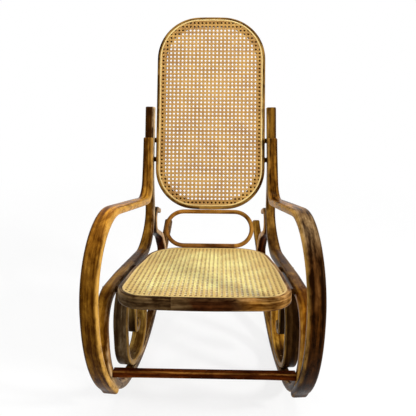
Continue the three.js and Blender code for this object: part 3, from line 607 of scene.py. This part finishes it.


# the sections shrink over a short nose at each end; the painted flank highlight and the painted shade are by
# place across the bar, from -1 to 1
barMake = {"nose": 0.004, "noseSteps": 4, "leastCorner": 0.0008, "outerEdge": -0.8,
           "flankFrom": 0.80, "flankOver": 0.15, "shadeFrom": 0.35, "shadeOver": 1.35}


def stationsOf(path):  # place, normal, how much less the section is, and run
    nose, steps = barMake["nose"], barMake["noseSteps"]
    normals, runs = sideways(path), travelled(path)
    start = (path[1] - path[0]) / np.linalg.norm(path[1] - path[0])
    end = (path[-1] - path[-2]) / np.linalg.norm(path[-1] - path[-2])
    turns = [math.radians(90 * k / steps) for k in range(1, steps + 1)]
    stations = [(path[0] + start * nose * (1 - math.sin(a)), normals[0], nose * (1 - math.cos(a)), runs[0])
                for a in reversed(turns)]
    kept = (runs > nose) & (runs < runs[-1] - nose)
    stations += [(p, n, 0.0, r) for p, n, r in zip(path[kept], normals[kept], runs[kept])]
    stations += [(path[-1] - end * nose * (1 - math.sin(a)), normals[-1], nose * (1 - math.cos(a)), runs[-1])
                 for a in turns]
    return stations


def bentBar(name, hand, path, edgesAt, size, wearAndPaintedLight, finish):
    stations = stationsOf(eased(path, ease=size["ease"]))
    length = stations[-1][3]
    rings, along = [], []
    for place, normal, less, run in stations:
        inside, outside = edgesAt(run, length)
        corner = max(barMake["leastCorner"], size["corner"] - less)
        section, arris = softBox(outside - inside - 2 * less, size["thickness"] - 2 * less, corner)
        middle = (inside + outside) / 2
        rings.append([inFrame(hand, middle + a, *(place + normal * t)) for a, t in section])
        along.append(run)
    section, arris = softBox(outside - inside, size["thickness"], size["corner"])
    across = section[:, 0] / section[:, 0].max()
    inner = np.clip((-across - barMake["flankFrom"]) / barMake["flankOver"], 0, 1)  # painted highlight on the lit inner side
    shaded = np.clip((barMake["shadeFrom"] - across) / barMake["shadeOver"], 0, 1)  # painted shade beside the seat
    arris = arris * np.where(across < 0, 1, barMake["outerEdge"])  # painted shade on the outer edges, which turn away from the light
    # along the run: painted highlight on the inner flank, and painted shade where below 0
    rubAndPaintedLight = np.interp(along, *zip(*wearAndPaintedLight))
    flank = np.outer(np.maximum(rubAndPaintedLight, 0), inner) + np.outer(np.minimum(rubAndPaintedLight, 0), shaded)
    return skin(name, rings, along, aroundOf(section), arris, False, finish, flank)


def smooth(share, a, b):
    t = min(max((share - a) / (b - a), 0), 1)
    return t * t * (3 - 2 * t)


def memberEdges(run, length):
    swell = member["railSwell"] * smooth(run, *member["swellFrom"]) * (1 - smooth(run, *member["swellTo"]))
    taper = smooth(run / length, member["taperFrom"], 1)
    width = member["width"] + (member["tailWidth"] - member["width"]) * taper
    drift = member["tailDrift"] * smooth(run, length - member["tailBend"], length)
    return -drift, width + swell - drift


def armEdges(run, length):
    flare = smooth(run / length, 0, armLoop["flareTo"])
    width = member["width"] + (armLoop["width"] - member["width"]) * flare
    return armLoop["centre"] - width / 2, armLoop["centre"] + width / 2


def evenEdges(size):
    return lambda run, length: (-size["inset"], size["width"] - size["inset"])


# the same rub and painted highlight along the whole run
evenWearAndPaintedLight = ((0, 1), (1, 1))
hiddenZones = ((0, 0.30, 0.20, 0.11), (0.06, 0.16, 0.09, 0.03), (0.12, 0.10, 0.025, 0.005))
barFinish = {  # by run from the top: how pale the inner flank is painted, a painted highlight; below 0 it takes painted shade
    "left": {
        "member": {
            # pale tan and a strong flank paint a highlight along the stile's inner side
            "seed": 1.0, "tan": (0.86, 0.62, 0.34), "flank": 0.9,
            "wearAndPaintedLight": (
                (0, 0.9), (0.35, 0.9), (0.45, -0.7), (0.98, -0.8),
                (1.1, 0), (1.2, 0.2), (1.3, 0.3), (1.5, 0)),
            "zones": (
                (0, 0.13, 0.05, 0.007), (0.12, 0.15, 0.06, 0.008), (0.17, 0.42, 0.20, 0.024),
                (0.45, 0.52, 0.25, 0.03), (0.62, 0.38, 0.19, 0.022), (0.90, 0.50, 0.25, 0.03),
                (1.04, 0.62, 0.29, 0.03), (1.25, 0.34, 0.14, 0.014), (1.42, 0.17, 0.065, 0.012),
                (1.7, 0.24, 0.11, 0.02), (2.2, 0.45, 0.22, 0.028))},
        "arm": {
            "seed": 2.0, "flank": 0.8, "zones": (
                (0, 0.36, 0.16, 0.02), (0.3, 0.62, 0.29, 0.032), (0.64, 0.86, 0.38, 0.04),
                (0.82, 0.50, 0.24, 0.027), (1.05, 0.40, 0.20, 0.022), (1.3, 0.24, 0.11, 0.018))},
        "scroll": {
            "seed": 3.0, "zones": (
                # near black from 1.10 to 1.29: painted shade on the hook stem under the seat
                (0, 0.20, 0.14, 0.075), (0.42, 0.24, 0.165, 0.085), (0.55, 0.70, 0.44, 0.11),
                (0.85, 1.0, 0.68, 0.17), (1.02, 0.10, 0.06, 0.03), (1.10, 0.03, 0.016, 0.008),
                (1.29, 0.03, 0.016, 0.008), (1.33, 0.40, 0.24, 0.10))},
        "strut": {"seed": 4.0, "rubAndHighlight": 1.3, "flank": 0.9, "tan": (0.84, 0.50, 0.22), "zones": hiddenZones}},
    "right": {
        "member": {
            "seed": 8.0,
            "wearAndPaintedLight": (
                (0, 0.7), (0.35, 0.7), (0.45, -0.7), (0.82, -0.7),
                (0.94, -0.2), (1.1, 0.2), (1.2, 0), (1.5, 0)),
            "zones": (
                (0, 0.24, 0.110, 0.013), (0.10, 0.24, 0.110, 0.013), (0.18, 0.50, 0.26, 0.035),
                (0.45, 0.46, 0.24, 0.05), (0.75, 0.48, 0.26, 0.07), (0.88, 0.62, 0.31, 0.05),
                (0.99, 0.98, 0.44, 0.035), (1.12, 0.34, 0.16, 0.03), (1.22, 0.12, 0.05, 0.010),
                (1.5, 0.12, 0.05, 0.010), (1.7, 0.24, 0.11, 0.02), (2.2, 0.36, 0.18, 0.02))},
        "arm": {
            "seed": 9.0, "rubAndHighlight": 0.5, "flank": 0.6, "shade": (0.05, 0.028, 0.012), "amberShare": 0.30,
            "wearAndPaintedLight": ((0, 1), (0.85, 1), (1.05, 0.1), (1.2, -0.5)), "zones": (
                # the pale grey stretch from 0.66 to 0.72 is a painted highlight on the outer shoulder
                (0, 0.40, 0.18, 0.022), (0.5, 0.66, 0.31, 0.045), (0.66, 0.42, 0.27, 0.12),
                (0.72, 0.52, 0.36, 0.19), (0.80, 0.22, 0.10, 0.03), (0.95, 0.14, 0.050, 0.008),
                (1.1, 0.07, 0.026, 0.005), (1.3, 0.10, 0.038, 0.006))},
        "scroll": {
            "seed": 10.0, "rubAndHighlight": 0.5, "flank": 0.35, "zones": (
                # near black from 1.10: painted shade on the hook stem under the seat
                (0, 0.06, 0.030, 0.010), (0.42, 0.06, 0.026, 0.006), (0.52, 0.12, 0.055, 0.013),
                (0.58, 1.0, 0.56, 0.08), (0.74, 1.0, 0.52, 0.07), (0.80, 0.05, 0.022, 0.007),
                (1.10, 0.03, 0.016, 0.008), (1.36, 0.10, 0.05, 0.02))},
        "strut": {"seed": 11.0, "rubAndHighlight": 1.3, "flank": 0.9, "tan": (0.66, 0.34, 0.10), "zones": hiddenZones}}}

bars = (
    ("stile_runner", "member", memberPath, memberEdges, member, "bent_beech"),
    ("arm_loop", "arm", armPath, armEdges, armLoop, "bent_beech"),
    ("oval_scroll", "scroll", scrollPath, evenEdges(scroll), scroll, "shaded_beech"),
    ("rear_strut", "strut", strutPath, evenEdges(strut), strut, "shaded_beech"))
for side, hand in sides:
    finish = {look: woodFinish(f"{side}{look.capitalize()}Wood", **values)
              for look, values in barFinish[side].items()}
    for part, look, path, edgesAt, size, slot in bars:
        wearAndPaintedLight = barFinish[side][look].get("wearAndPaintedLight", evenWearAndPaintedLight)
        piece = bentBar(f"{side}_{part}_wood", hand, path, edgesAt, size, wearAndPaintedLight, finish[look])
        fitted(piece, slot, f"{side}_{part}")
print("side frames bent")


# Seat and back rings, in their own planes

groove = {"spline": 0.0045, "crown": 0.0008, "depth": 0.006, "clear": 0.0003, "wall": 0.0015}
ringEdge = {"lip": 0.0008, "bevel": 0.001, "inner": 0.004}
seat = {"height": 0.410, "slope": 6.0, "depth": 0.454, "front": 0.2375, "rear": 0.173, "bow": 0.013,
        "bowRadius": 1.5, "sideBow": 0.012, "sideRadius": 0.9, "frontCorner": 0.080, "rearCorner": 0.110,
        "ringWidth": 0.034, "ringHeight": 0.036, "rim": 0.0125, "round": 0.008, "ledge": 0.0036, "dusk": 0.9,
        "fan": (1.043, 0.907),  # the rows spread towards the front
        "strand": {"width": 0.0030, "thickness": 0.0018, "along": -0.0010, "across": -0.0023,
                   "slant": -0.0014, "wave": 0.0011}}
back = {"half": 0.181, "height": 0.6457, "lean": 22.7, "reach": 0.531, "foot": 0.467, "topCorner": 0.143,
        "footCorner": 0.133, "bow": 0.005, "bowRadius": 1.2, "ringWidth": 0.030, "ringHeight": 0.023,
        "rim": 0.009, "round": 0.0065, "ledge": 0.0022, "dusk": 0.1, "fan": (1, 1),
        "strand": {"width": 0.0029, "thickness": 0.0007, "along": -0.0012, "across": -0.0006,
                   "slant": -0.0009, "wave": 0.0009}}
loop = {"rod": 0.0138, "sides": 16, "width": 0.289, "height": 0.125, "lean": 30.0, "corner": 0.055,
        "inset": 0.008}


def stoodUp(place, tilt):
    return Matrix.Translation(place) @ Matrix.Rotation(math.radians(tilt), 4, "X")


def mirrored(corners):  # the right half of a ring, then the left half back to the start
    return corners + [(-x, y, radius) for x, y, radius in reversed(corners) if x]


seatPlane = stoodUp((0, rowShift, seat["height"]), -seat["slope"])
backPlane = stoodUp((0, back["reach"] + rowShift, back["foot"]), 90 - back["lean"])
waistHalf = (seat["front"] + seat["rear"]) / 2 + seat["sideBow"]
seatOutline = rounded(mirrored([
    (0, -seat["bow"], seat["bowRadius"]), (seat["front"], 0, seat["frontCorner"]),
    (waistHalf, seat["depth"] / 2, seat["sideRadius"]), (seat["rear"], seat["depth"], seat["rearCorner"])]),
    closed=True)
backSag = back["bow"] / 2
backOutline = rounded(mirrored([
    (0, -backSag, back["bowRadius"]), (back["half"], backSag, back["footCorner"]),
    (back["half"], back["height"] - backSag, back["topCorner"]),
    (0, back["height"] + backSag, back["bowRadius"])]), closed=True)
rodHalf = loop["rod"] / 2
loopOutline = rounded(mirrored([
    (loop["width"] / 2 - rodHalf, rodHalf, loop["corner"]),
    (loop["width"] / 2 - rodHalf, loop["height"] - rodHalf, loop["corner"])]), closed=True)


def arc(cx, cy, radius, start, end, count=6):
    angles = np.radians(np.linspace(start, end, count))
    return [(cx + radius * math.cos(a), cy + radius * math.sin(a)) for a in angles]


# inward and up from the outer top edge, walked from the groove outwards and under, and each point's rub;
# below 0 it is painted shade in the groove and under the ledge
def ringSection(size):
    h, w, r, rim = size["ringHeight"], size["ringWidth"], size["round"], size["rim"]
    lip, bevel, edge = ringEdge["lip"], ringEdge["bevel"], ringEdge["inner"]
    inner = rim + 3 * groove["clear"] + groove["spline"] + groove["wall"]
    points = [(inner, -groove["depth"]), (rim, -groove["depth"]), (rim, -lip), (rim - lip, 0)]
    points += arc(r, -r, r, 90, 180)
    points += arc(r, r - h, r, 180, 270)
    points += arc(w - edge, edge - h, edge, 270, 360, 4)
    points += [(w, -size["ledge"] - bevel), (w - bevel, -size["ledge"]), (inner, -size["ledge"])]
    sectionRubAndShade = [-1, -1, 0.3, 1]
    sectionRubAndShade += [0.6, 0.9, 1, 1, 0.8, 0.3]
    sectionRubAndShade += [0.1, 0.5, 0.9, 0.9, 0.5, 0.1]
    sectionRubAndShade += [0, 0.5, 0.5, 0]
    sectionRubAndShade += [-0.5, -1, -1]
    return np.array(points), np.array(sectionRubAndShade)


def splineSection(size):
    start = size["rim"] + groove["clear"]
    r = groove["spline"] / 2
    points = [(start + 2 * r, -groove["depth"] / 2), (start, -groove["depth"] / 2)]
    turns = np.linspace(0, math.pi, 9)
    points += [(start + r - r * math.cos(a), groove["crown"] * math.sin(a)) for a in turns]
    return np.array(points), np.zeros(len(points))


def flatRing(name, outline, section, arris, plane, finish, wearAndPaintedLight=evenWearAndPaintedLight):
    path = eased(outline, closed=True)
    inward = sideways(path, closed=True)
    rings = [[plane @ Vector((p[0] + n[0] * i, p[1] + n[1] * i, up)) for i, up in section]
             for p, n in zip(path, inward)]
    runs = travelled(np.vstack([path, path[:1]]))
    rubAndPaintedLight = np.interp(runs[:-1], *zip(*wearAndPaintedLight))
    # positive points take rub and painted highlight, weighted along the run; negative ones keep their painted
    # shade
    arris = np.outer(rubAndPaintedLight, np.maximum(arris, 0)) + np.minimum(arris, 0)
    return skin(name, rings, runs, aroundOf(section), arris, True, finish)


ringFinish = {
    "seat_frame": {
        "seed": 11.0, "slant": -0.5, "rubAndHighlight": 0.40, "tan": (0.86, 0.52, 0.20),
        # the rub weights rising from 0.19 to 0.42 paint a highlight on the right front corner
        "wearAndPaintedLight": ((0, 0.6), (0.04, 0.25), (0.15, 0.25), (0.19, 1.6),
                 (0.33, 2.2), (0.42, 0.8), (1.2, 0.5), (1.6, 0.6)),
        "zones": (  # a scarf joint left of the middle parts two tones
            (0, 0.12, 0.07, 0.03), (0.030, 0.10, 0.05, 0.018), (0.033, 0.06, 0.012, 0.002),
            # the pale zone at 0.31 brightens the amber stain into a painted highlight at the right front
            # corner
            (0.15, 0.07, 0.016, 0.002), (0.20, 0.70, 0.31, 0.03), (0.31, 0.80, 0.47, 0.15),
            (0.60, 0.30, 0.14, 0.02), (1.18, 0.30, 0.14, 0.02), (1.38, 0.32, 0.25, 0.16),
            (1.48, 0.24, 0.17, 0.09), (1.58, 0.12, 0.07, 0.03))},
    "back_frame": {
        "seed": 12.0, "zones": ((0, 0.26, 0.13, 0.024), (1.0, 0.20, 0.11, 0.028), (1.5, 0.26, 0.13, 0.024))},
    "rear_loop": {
        "seed": 13.0, "amberShare": 0.8, "zones": (
            (0, 0.42, 0.19, 0.035), (0.1, 0.46, 0.22, 0.04),
            (0.35, 0.42, 0.18, 0.03), (0.6, 0.24, 0.10, 0.025))}}

rodCentre = seatPlane @ Vector((0, seat["depth"] - loop["inset"], rodHalf + fit))
loopPlane = stoodUp(rodCentre, 90 - loop["lean"]) @ Matrix.Translation((0, -rodHalf, 0))
rodTurns = np.linspace(0, 2 * math.pi, loop["sides"] + 1)[:-1]
rodSection = np.array([(rodHalf * math.cos(a), rodHalf * math.sin(a)) for a in rodTurns])
rings = (
    ("seat_frame", seatOutline, ringSection(seat), seatPlane),
    ("back_frame", backOutline, ringSection(back), backPlane),
    ("rear_loop", loopOutline, (rodSection, np.zeros(loop["sides"])), loopPlane))
for name, outline, (section, arris), plane in rings:
    look = ringFinish[name]
    piece = flatRing(f"{name}_wood", outline, section, arris, plane, woodFinish(f"{name}Wood", **look),
                     look.get("wearAndPaintedLight", evenWearAndPaintedLight))
    fitted(piece, "bent_beech", name)
print("rings and loop made")


# Stretcher

stretcher = {"reach": stretcherReach, "height": 0.1545, "depth": 0.022, "thickness": 0.0205,
             "endDepth": 0.025, "endThickness": 0.021, "swell": 0.085, "corner": 0.0045, "stations": 90,
             "finish": {"seed": 14.0, "rubAndHighlight": 0.4, "zones": plain(0.21, 0.046, 0.005)}}


def innerFace(reach):
    return sideFrame["halfWidth"] - math.tan(sideFrame["splay"]) * reach


def makeStretcher():
    reachHalf = innerFace(stretcher["reach"])
    along = np.linspace(-reachHalf, reachHalf, stretcher["stations"])
    rings = []
    for x in along:
        swell = 1 - smooth(reachHalf - abs(x), 0, stretcher["swell"])
        depth = stretcher["depth"] + (stretcher["endDepth"] - stretcher["depth"]) * swell
        thick = stretcher["thickness"] + (stretcher["endThickness"] - stretcher["thickness"]) * swell
        section, arris = softBox(depth, thick, stretcher["corner"])
        ring = []
        for y, z in section:
            atEnd = x in (along[0], along[-1])
            out = math.copysign(innerFace(stretcher["reach"] + y) - fit, x) if atEnd else x
            ring.append((out, y + stretcher["reach"] + rowShift, z + stretcher["height"]))
        rings.append(ring)
    finish = woodFinish("stretcherWood", **stretcher["finish"])
    return skin("front_stretcher_wood", rings, along, aroundOf(section), arris, False, finish)


fitted(makeStretcher(), "red_beech", "front_stretcher")


# Geometry Nodes helpers

def newTree(name, inputs):
    tree = bpy.data.node_groups.new(name, "GeometryNodeTree")
    tree.interface.new_socket(name="Geometry", in_out="INPUT", socket_type="NodeSocketGeometry")
    for label, kind in inputs:
        tree.interface.new_socket(name=label, in_out="INPUT", socket_type=f"NodeSocket{kind}")
    tree.interface.new_socket(name="Geometry", in_out="OUTPUT", socket_type="NodeSocketGeometry")
    given, result = tree.nodes.new("NodeGroupInput"), tree.nodes.new("NodeGroupOutput")
    return tree, given.outputs, result.inputs["Geometry"]


def ended(tree, shape, material, result):
    real = wired(tree, "GeometryNodeRealizeInstances", Geometry=shape)
    joined(tree, wired(tree, "GeometryNodeSetMaterial", Geometry=real, Material=material), result)


# runs a tree on a mesh and keeps the result as a plain mesh
def grown(name, seedMesh, tree, values, plane=None):
    holder = added(f"{name}Seed", seedMesh)
    modifier = holder.modifiers.new("grow", "NODES")
    modifier.node_group = tree
    for item in tree.interface.items_tree:
        if item.in_out == "INPUT" and item.name in values:
            modifier[item.identifier] = values[item.name]
    ready = holder.evaluated_get(bpy.context.evaluated_depsgraph_get())
    mesh = bpy.data.meshes.new_from_object(ready)
    bpy.data.objects.remove(holder)
    if plane:
        mesh.transform(plane)
    mesh.name = name
    return added(name, mesh)


# Cane: six-way weave, each strand swept along its own line and ending under the spline

caneStep = {"pitch": 0.0129, "pair": 0.00165, "dusk": 0.05, "shortest": 0.012, "points": 11, "sides": 6,
            "slantThin": 0.7, "under": 0.7, "tone": (0.55, 0.2), "toneLeast": 0.05}


def strandTree():
    tree, given, result = newTree("caneStrands", (
        ("Strand width", "Float"), ("Strand thickness", "Float"), ("Strand sides", "Int"),
        ("Cane", "Material")))
    lines = wired(tree, "GeometryNodeMeshToCurve", Mesh=given["Geometry"])
    level = wired(tree, "GeometryNodeSetCurveNormal", {"mode": "Z_UP"}, Curve=lines)
    ring = wired(tree, "GeometryNodeCurvePrimitiveCircle", Resolution=given["Strand sides"], Radius=0.5)
    width, thickness = given["Strand width"], given["Strand thickness"]
    size = wired(tree, "ShaderNodeCombineXYZ", X=width, Y=thickness, Z=1.0)
    flat = wired(tree, "GeometryNodeTransform", Geometry=ring, Scale=size)
    swept = wired(tree, "GeometryNodeCurveToMesh", Curve=level, Profile__Curve=flat, Fill__Caps=True)
    place = wired(tree, "ShaderNodeSeparateXYZ", Vector=wired(tree, "GeometryNodeInputPosition"))
    kept = wired(tree, "GeometryNodeStoreNamedAttribute", Geometry=swept, Name="height",
                 Value=place.outputs["Z"])
    soft = wired(tree, "GeometryNodeSetShadeSmooth", Geometry=kept)
    ended(tree, soft, given["Cane"], result)
    return tree


def chord(edge, place, heading):  # where a line enters and leaves the convex edge
    place, heading = np.array(place), np.array(heading)
    across = np.array([-heading[1], heading[0]])
    a = (edge - place) @ across
    b = np.roll(a, -1)
    cut = np.nonzero((a > 0) != (b > 0))[0]
    if len(cut) < 2:
        return None
    share = a[cut] / (a[cut] - b[cut])
    points = edge[cut] + share[:, None] * (np.roll(edge, -1, axis=0)[cut] - edge[cut])
    runs = np.sort((points - place) @ heading)
    return (runs[0], runs[-1]) if runs[-1] - runs[0] > caneStep["shortest"] else None


# straight pairs, and one set of woven diagonals each way
def weave(edge, origin, pitch, strand, fan):
    low, high = edge.min(axis=0), edge.max(axis=0)
    straight, rising, falling = [], [], []

    def spread(x, y):
        return x * (fan[0] + (fan[1] - fan[0]) * (y - low[1]) / (high[1] - low[1])), y

    edge = np.array([(x / spread(1, y)[0], y) for x, y in edge])  # woven square, then spread to its own edge
    for axis in (0, 1):
        heading = np.array((0, 1) if axis == 0 else (1, 0))
        z = strand["along" if axis == 0 else "across"]
        first, last = (int((bound[axis] - origin[axis]) / pitch) for bound in (low, high))
        for k in range(first - 1, last + 2):
            for offset in (-caneStep["pair"], caneStep["pair"]):
                place = np.zeros(2)
                place[axis] = origin[axis] + k * pitch + offset
                ends = chord(edge, place, heading)
                if ends:
                    runs = np.linspace(*ends, caneStep["points"])
                    straight.append([(*spread(*(place + t * heading)), z) for t in runs])
    span = (high - low).sum()
    quarter = pitch / 4 * math.sqrt(2)
    for hand, strands in ((1, rising), (-1, falling)):
        heading = np.array([1, hand]) / math.sqrt(2)
        for k in range(-int(span / pitch) - 2, int(span / pitch) + 3):
            place = np.array([origin[0] + (k + 0.5) * pitch, origin[1]])
            ends = chord(edge, place, heading)
            if not ends:
                continue
            first = math.ceil(ends[0] / quarter + 0.2)
            last = math.floor(ends[1] / quarter - 0.2)
            runs = [ends[0], *(n * quarter for n in range(first, last + 1)), ends[1]]
            line = []
            for t in runs:
                x, y = place + t * heading
                wave = math.cos(2 * math.pi * (y - origin[1]) / pitch)  # top where it crosses the level pairs
                line.append((*spread(x, y), strand["slant"] + hand * wave * strand["wave"]))
            strands.append(line)
    return straight, rising, falling


def strandMesh(name, strands, seed, edge, dusk):  # strands darken towards the frame
    dice = np.random.default_rng(seed)
    points, edges, shades = [], [], []
    for strand in strands:
        tone = float(np.clip(dice.normal(*caneStep["tone"]), caneStep["toneLeast"], 1))
        for i, (x, y, z) in enumerate(strand):
            if i:
                edges.append((len(points) - 1, len(points)))
            points.append((x, y, z))
            away = np.hypot(edge[:, 0] - x, edge[:, 1] - y).min()
            shades.append(tone - dusk * math.exp(-away / caneStep["dusk"]))
    mesh = bpy.data.meshes.new(name)
    mesh.from_pydata(points, edges, [])
    mesh.attributes.new("shade", "FLOAT", "POINT").data.foreach_set("value", np.array(shades, np.float32))
    return mesh


cane = strandTree()
backCane = caneFinish("backCane", (0.57, 0.32, 0.068), (0.33, 0.152, 0.026), (0.15, 0.056, 0.012))
# the seat's lower strands take painted shade between the two heights
seatCane = caneFinish("seatCane", (1.0, 0.92, 0.36), (0.70, 0.50, 0.15), (0.40, 0.19, 0.08),
                      (-0.0019, -0.0007, (0.24, 0.090, 0.032)))
panels = (("seat", seatOutline, seat, seatPlane, seatCane, (0.0, seat["depth"] / 2), 31),
          ("back", backOutline, back, backPlane, backCane, (0.0, back["height"] / 2), 41))
for name, outline, size, plane, finish, origin, seed in panels:
    path = eased(outline, closed=True)
    reach = size["rim"] + groove["clear"] + groove["spline"] * caneStep["under"]
    edge = path + sideways(path, closed=True) * reach
    strand = size["strand"]
    woven = weave(edge, origin, caneStep["pitch"], strand, size["fan"])
    for n, (kind, strands) in enumerate(zip(("straight", "rising", "falling"), woven)):
        lines = strandMesh(f"{name}_{kind}_lines", strands, seed + n, edge, size["dusk"])
        thickness = strand["thickness"] * (1 if kind == "straight" else caneStep["slantThin"])
        piece = grown(f"{name}_cane_{kind}", lines, cane, {
            "Strand width": strand["width"], "Strand thickness": thickness, "Strand sides": caneStep["sides"],
            "Cane": finish}, plane)
        fitted(piece, f"{name}_cane", f"{name}_cane")
    finish = caneFinish(f"{name}Spline", (0.88, 0.70, 0.28), (0.66, 0.46, 0.16), (0.36, 0.20, 0.08))
    piece = flatRing(f"{name}_spline_cane", outline, *splineSection(size), plane, finish)
    fitted(piece, f"{name}_cane", f"{name}_spline")
print("cane woven")


# Distance pieces, turned with a slight waist, and the screws

spacer = {"radius": 0.009, "waist": 0.83, "sides": 28, "bevel": 0.0008, "grain": 0.04, "endDepth": 0.0004,
          "stations": (0, 0.04, 0.1, 0.25, 0.4, 0.5, 0.6, 0.75, 0.9, 0.96, 1)}
screw = {"radius": 0.0053, "dome": 0.0012, "slotWidth": 0.0011, "slotDepth": 0.0009, "shank": 0.0024,
         "shankLength": 0.014, "collar": 0.004, "rise": 0.001, "proud": 0.0004}


def lifted(name):  # what is fixed to the rail follows its crown
    points = pointsOf(nodes[name].data)
    if "_seat_" in name or "scroll_top" in name:
        reach = (points[:, 1].mean() - rowShift) / math.cos(sideFrame["splay"])
        points[:, 2] += railRise(reach)
    return points


def turnedSpacer(name, hand, finish):
    points = lifted(name)
    c, s = math.cos(sideFrame["splay"]), math.sin(sideFrame["splay"])
    inward = np.array([-hand * c, -s, 0])
    across = np.array([s, -hand * c, 0])
    upward = np.array([0, 0, 1.0])
    runs = points @ inward
    atStart = runs < runs.min() + spacer["endDepth"]
    far = points[~atStart]
    centre = points[atStart].mean(axis=0)
    normal = np.linalg.svd(far - far.mean(axis=0))[2][2]
    turns = np.linspace(0, 2 * math.pi, spacer["sides"] + 1)[:-1]
    rings = []
    for share in spacer["stations"]:
        r = spacer["radius"] * (1 - (1 - spacer["waist"]) * math.sin(math.pi * share) ** 2)
        if share in (0, 1):
            r -= spacer["bevel"]
        ring = []
        for a in turns:
            start = centre + r * (math.cos(a) * across + math.sin(a) * upward)
            reach = ((far.mean(axis=0) - start) @ normal) / (inward @ normal)
            ring.append(start + inward * reach * share)
        rings.append(ring)
    along = [share * spacer["grain"] for share in spacer["stations"]]
    around = np.linspace(0, 2 * math.pi * spacer["radius"], spacer["sides"] + 1)
    return skin(f"{name}_wood", rings, along, around, 0.0, False, finish)


def screwTree():
    tree, given, result = newTree("slottedScrews", (
        ("Head radius", "Float"), ("Dome height", "Float"), ("Slot width", "Float"), ("Slot depth", "Float"),
        ("Shank radius", "Float"), ("Shank length", "Float"), ("Seed", "Int"), ("Screw metal", "Material")))
    radius, dome, length = (given[label] for label in ("Head radius", "Dome height", "Shank length"))
    ball = wired(tree, "GeometryNodeMeshUVSphere", Segments=28, Rings=16, Radius=radius)
    squashed = wired(tree, "ShaderNodeCombineXYZ", X=1.0, Y=1.0, Z=maths(tree, "DIVIDE", dome, radius))
    head = wired(tree, "GeometryNodeTransform", Geometry=ball, Scale=squashed)
    shank = wired(tree, "GeometryNodeMeshCylinder", Vertices=14, Radius=given["Shank radius"], Depth=length)
    drop = wired(tree, "ShaderNodeCombineXYZ", Z=maths(tree, "MULTIPLY", length, -0.5))
    hung = wired(tree, "GeometryNodeTransform", Geometry=shank, Translation=drop)
    slotSize = wired(tree, "ShaderNodeCombineXYZ", X=maths(tree, "MULTIPLY", radius, 3.0),
                     Y=given["Slot width"], Z=given["Slot depth"])
    slot = wired(tree, "GeometryNodeMeshCube", Size=slotSize)
    lift = wired(tree, "ShaderNodeCombineXYZ", Z=dome)
    cutter = wired(tree, "GeometryNodeTransform", Geometry=slot, Translation=lift)
    whole = wired(tree, "GeometryNodeMeshBoolean", {"operation": "UNION", "solver": "EXACT"})
    joined(tree, head, whole.inputs[1])
    joined(tree, hung, whole.inputs[1])
    slotted = wired(tree, "GeometryNodeMeshBoolean", {"operation": "DIFFERENCE", "solver": "EXACT"}, _0=whole)
    joined(tree, cutter, slotted.inputs[1])
    axis = wired(tree, "GeometryNodeInputNamedAttribute", {"data_type": "FLOAT_VECTOR"}, Name="axis")
    axis = axis.outputs["Attribute"]
    aim = wired(tree, "FunctionNodeAlignRotationToVector", {"axis": "Z"}, Vector=axis)
    turn = wired(tree, "FunctionNodeRandomValue", {"data_type": "FLOAT"}, _2=0.0, _3=3.14,
                 Seed=given["Seed"])
    own = wired(tree, "ShaderNodeCombineXYZ", Z=turn.outputs[1])
    local = wired(tree, "FunctionNodeEulerToRotation", Euler=own)
    spun = wired(tree, "FunctionNodeRotateRotation", {"rotation_space": "LOCAL"}, Rotation=aim,
                 Rotate__By=local)
    spots = wired(tree, "GeometryNodeInstanceOnPoints", Points=given["Geometry"], Instance=slotted,
                  Rotation=spun)
    ended(tree, spots, given["Screw metal"], result)
    return tree


def metalFinish(name, bright, dull):
    material, tree, shader = newFinish(name)
    place = wired(tree, "ShaderNodeTexCoord").outputs["Object"]
    tarnish = noise(tree, place, 260.0, 4.0, 0.6)
    tree.links.new(ramp(tree, tarnish, ((0.35, *dull), (0.65, *bright))), shader.inputs["Base Color"])
    joined(tree, ranged(tree, tarnish, 0, 1, 0.55, 0.3), shader.inputs["Roughness"])
    shader.inputs["Metallic"].default_value = 1.0
    return material


for side, hand in sides:
    finish = woodFinish(f"{side}SpacerWood", seed=20.0 + hand, zones=plain(0.10, 0.04, 0.008))
    for where in ("back_spacer_lower", "back_spacer_upper", "seat_spacer_front", "seat_spacer_rear"):
        piece = turnedSpacer(f"{side}_{where}", hand, finish)
        fitted(piece, "bent_beech", f"{side}_{where}")

screwNames = [name for name in sorted(nodes) if "_screw" in name]
spots, axes = [], []
for name in screwNames:
    points = lifted(name)
    middle = points.mean(axis=0)
    axis = np.linalg.svd(points - middle)[2][0]
    runs = (points - middle) @ axis
    wide = np.linalg.norm(points - middle - np.outer(runs, axis), axis=1) > screw["collar"]
    if runs[wide].mean() < 0:
        axis, runs = -axis, -runs
    lift = member["railSwell"] if "_seat_" in name else 0
    away = runs[wide].max() + screw["rise"] + screw["proud"] - screw["dome"] + lift
    spots.append(tuple(middle + axis * away))  # heads show at the wood's face
    axes.append(axis)
spotMesh = bpy.data.meshes.new("screwSpots")
spotMesh.from_pydata(spots, [], [])
aims = spotMesh.attributes.new("axis", "FLOAT_VECTOR", "POINT")
aims.data.foreach_set("vector", np.array(axes, np.float32).ravel())
piece = grown("slotted_screws", spotMesh, screwTree(), {
    "Head radius": screw["radius"], "Dome height": screw["dome"], "Slot width": screw["slotWidth"],
    "Slot depth": screw["slotDepth"], "Shank radius": screw["shank"], "Shank length": screw["shankLength"],
    "Seed": 5, "Screw metal": metalFinish("agedBrass", (0.42, 0.29, 0.12), (0.10, 0.065, 0.03))})
fitted(piece, "screw", *screwNames)
print("spacers and screws in place")
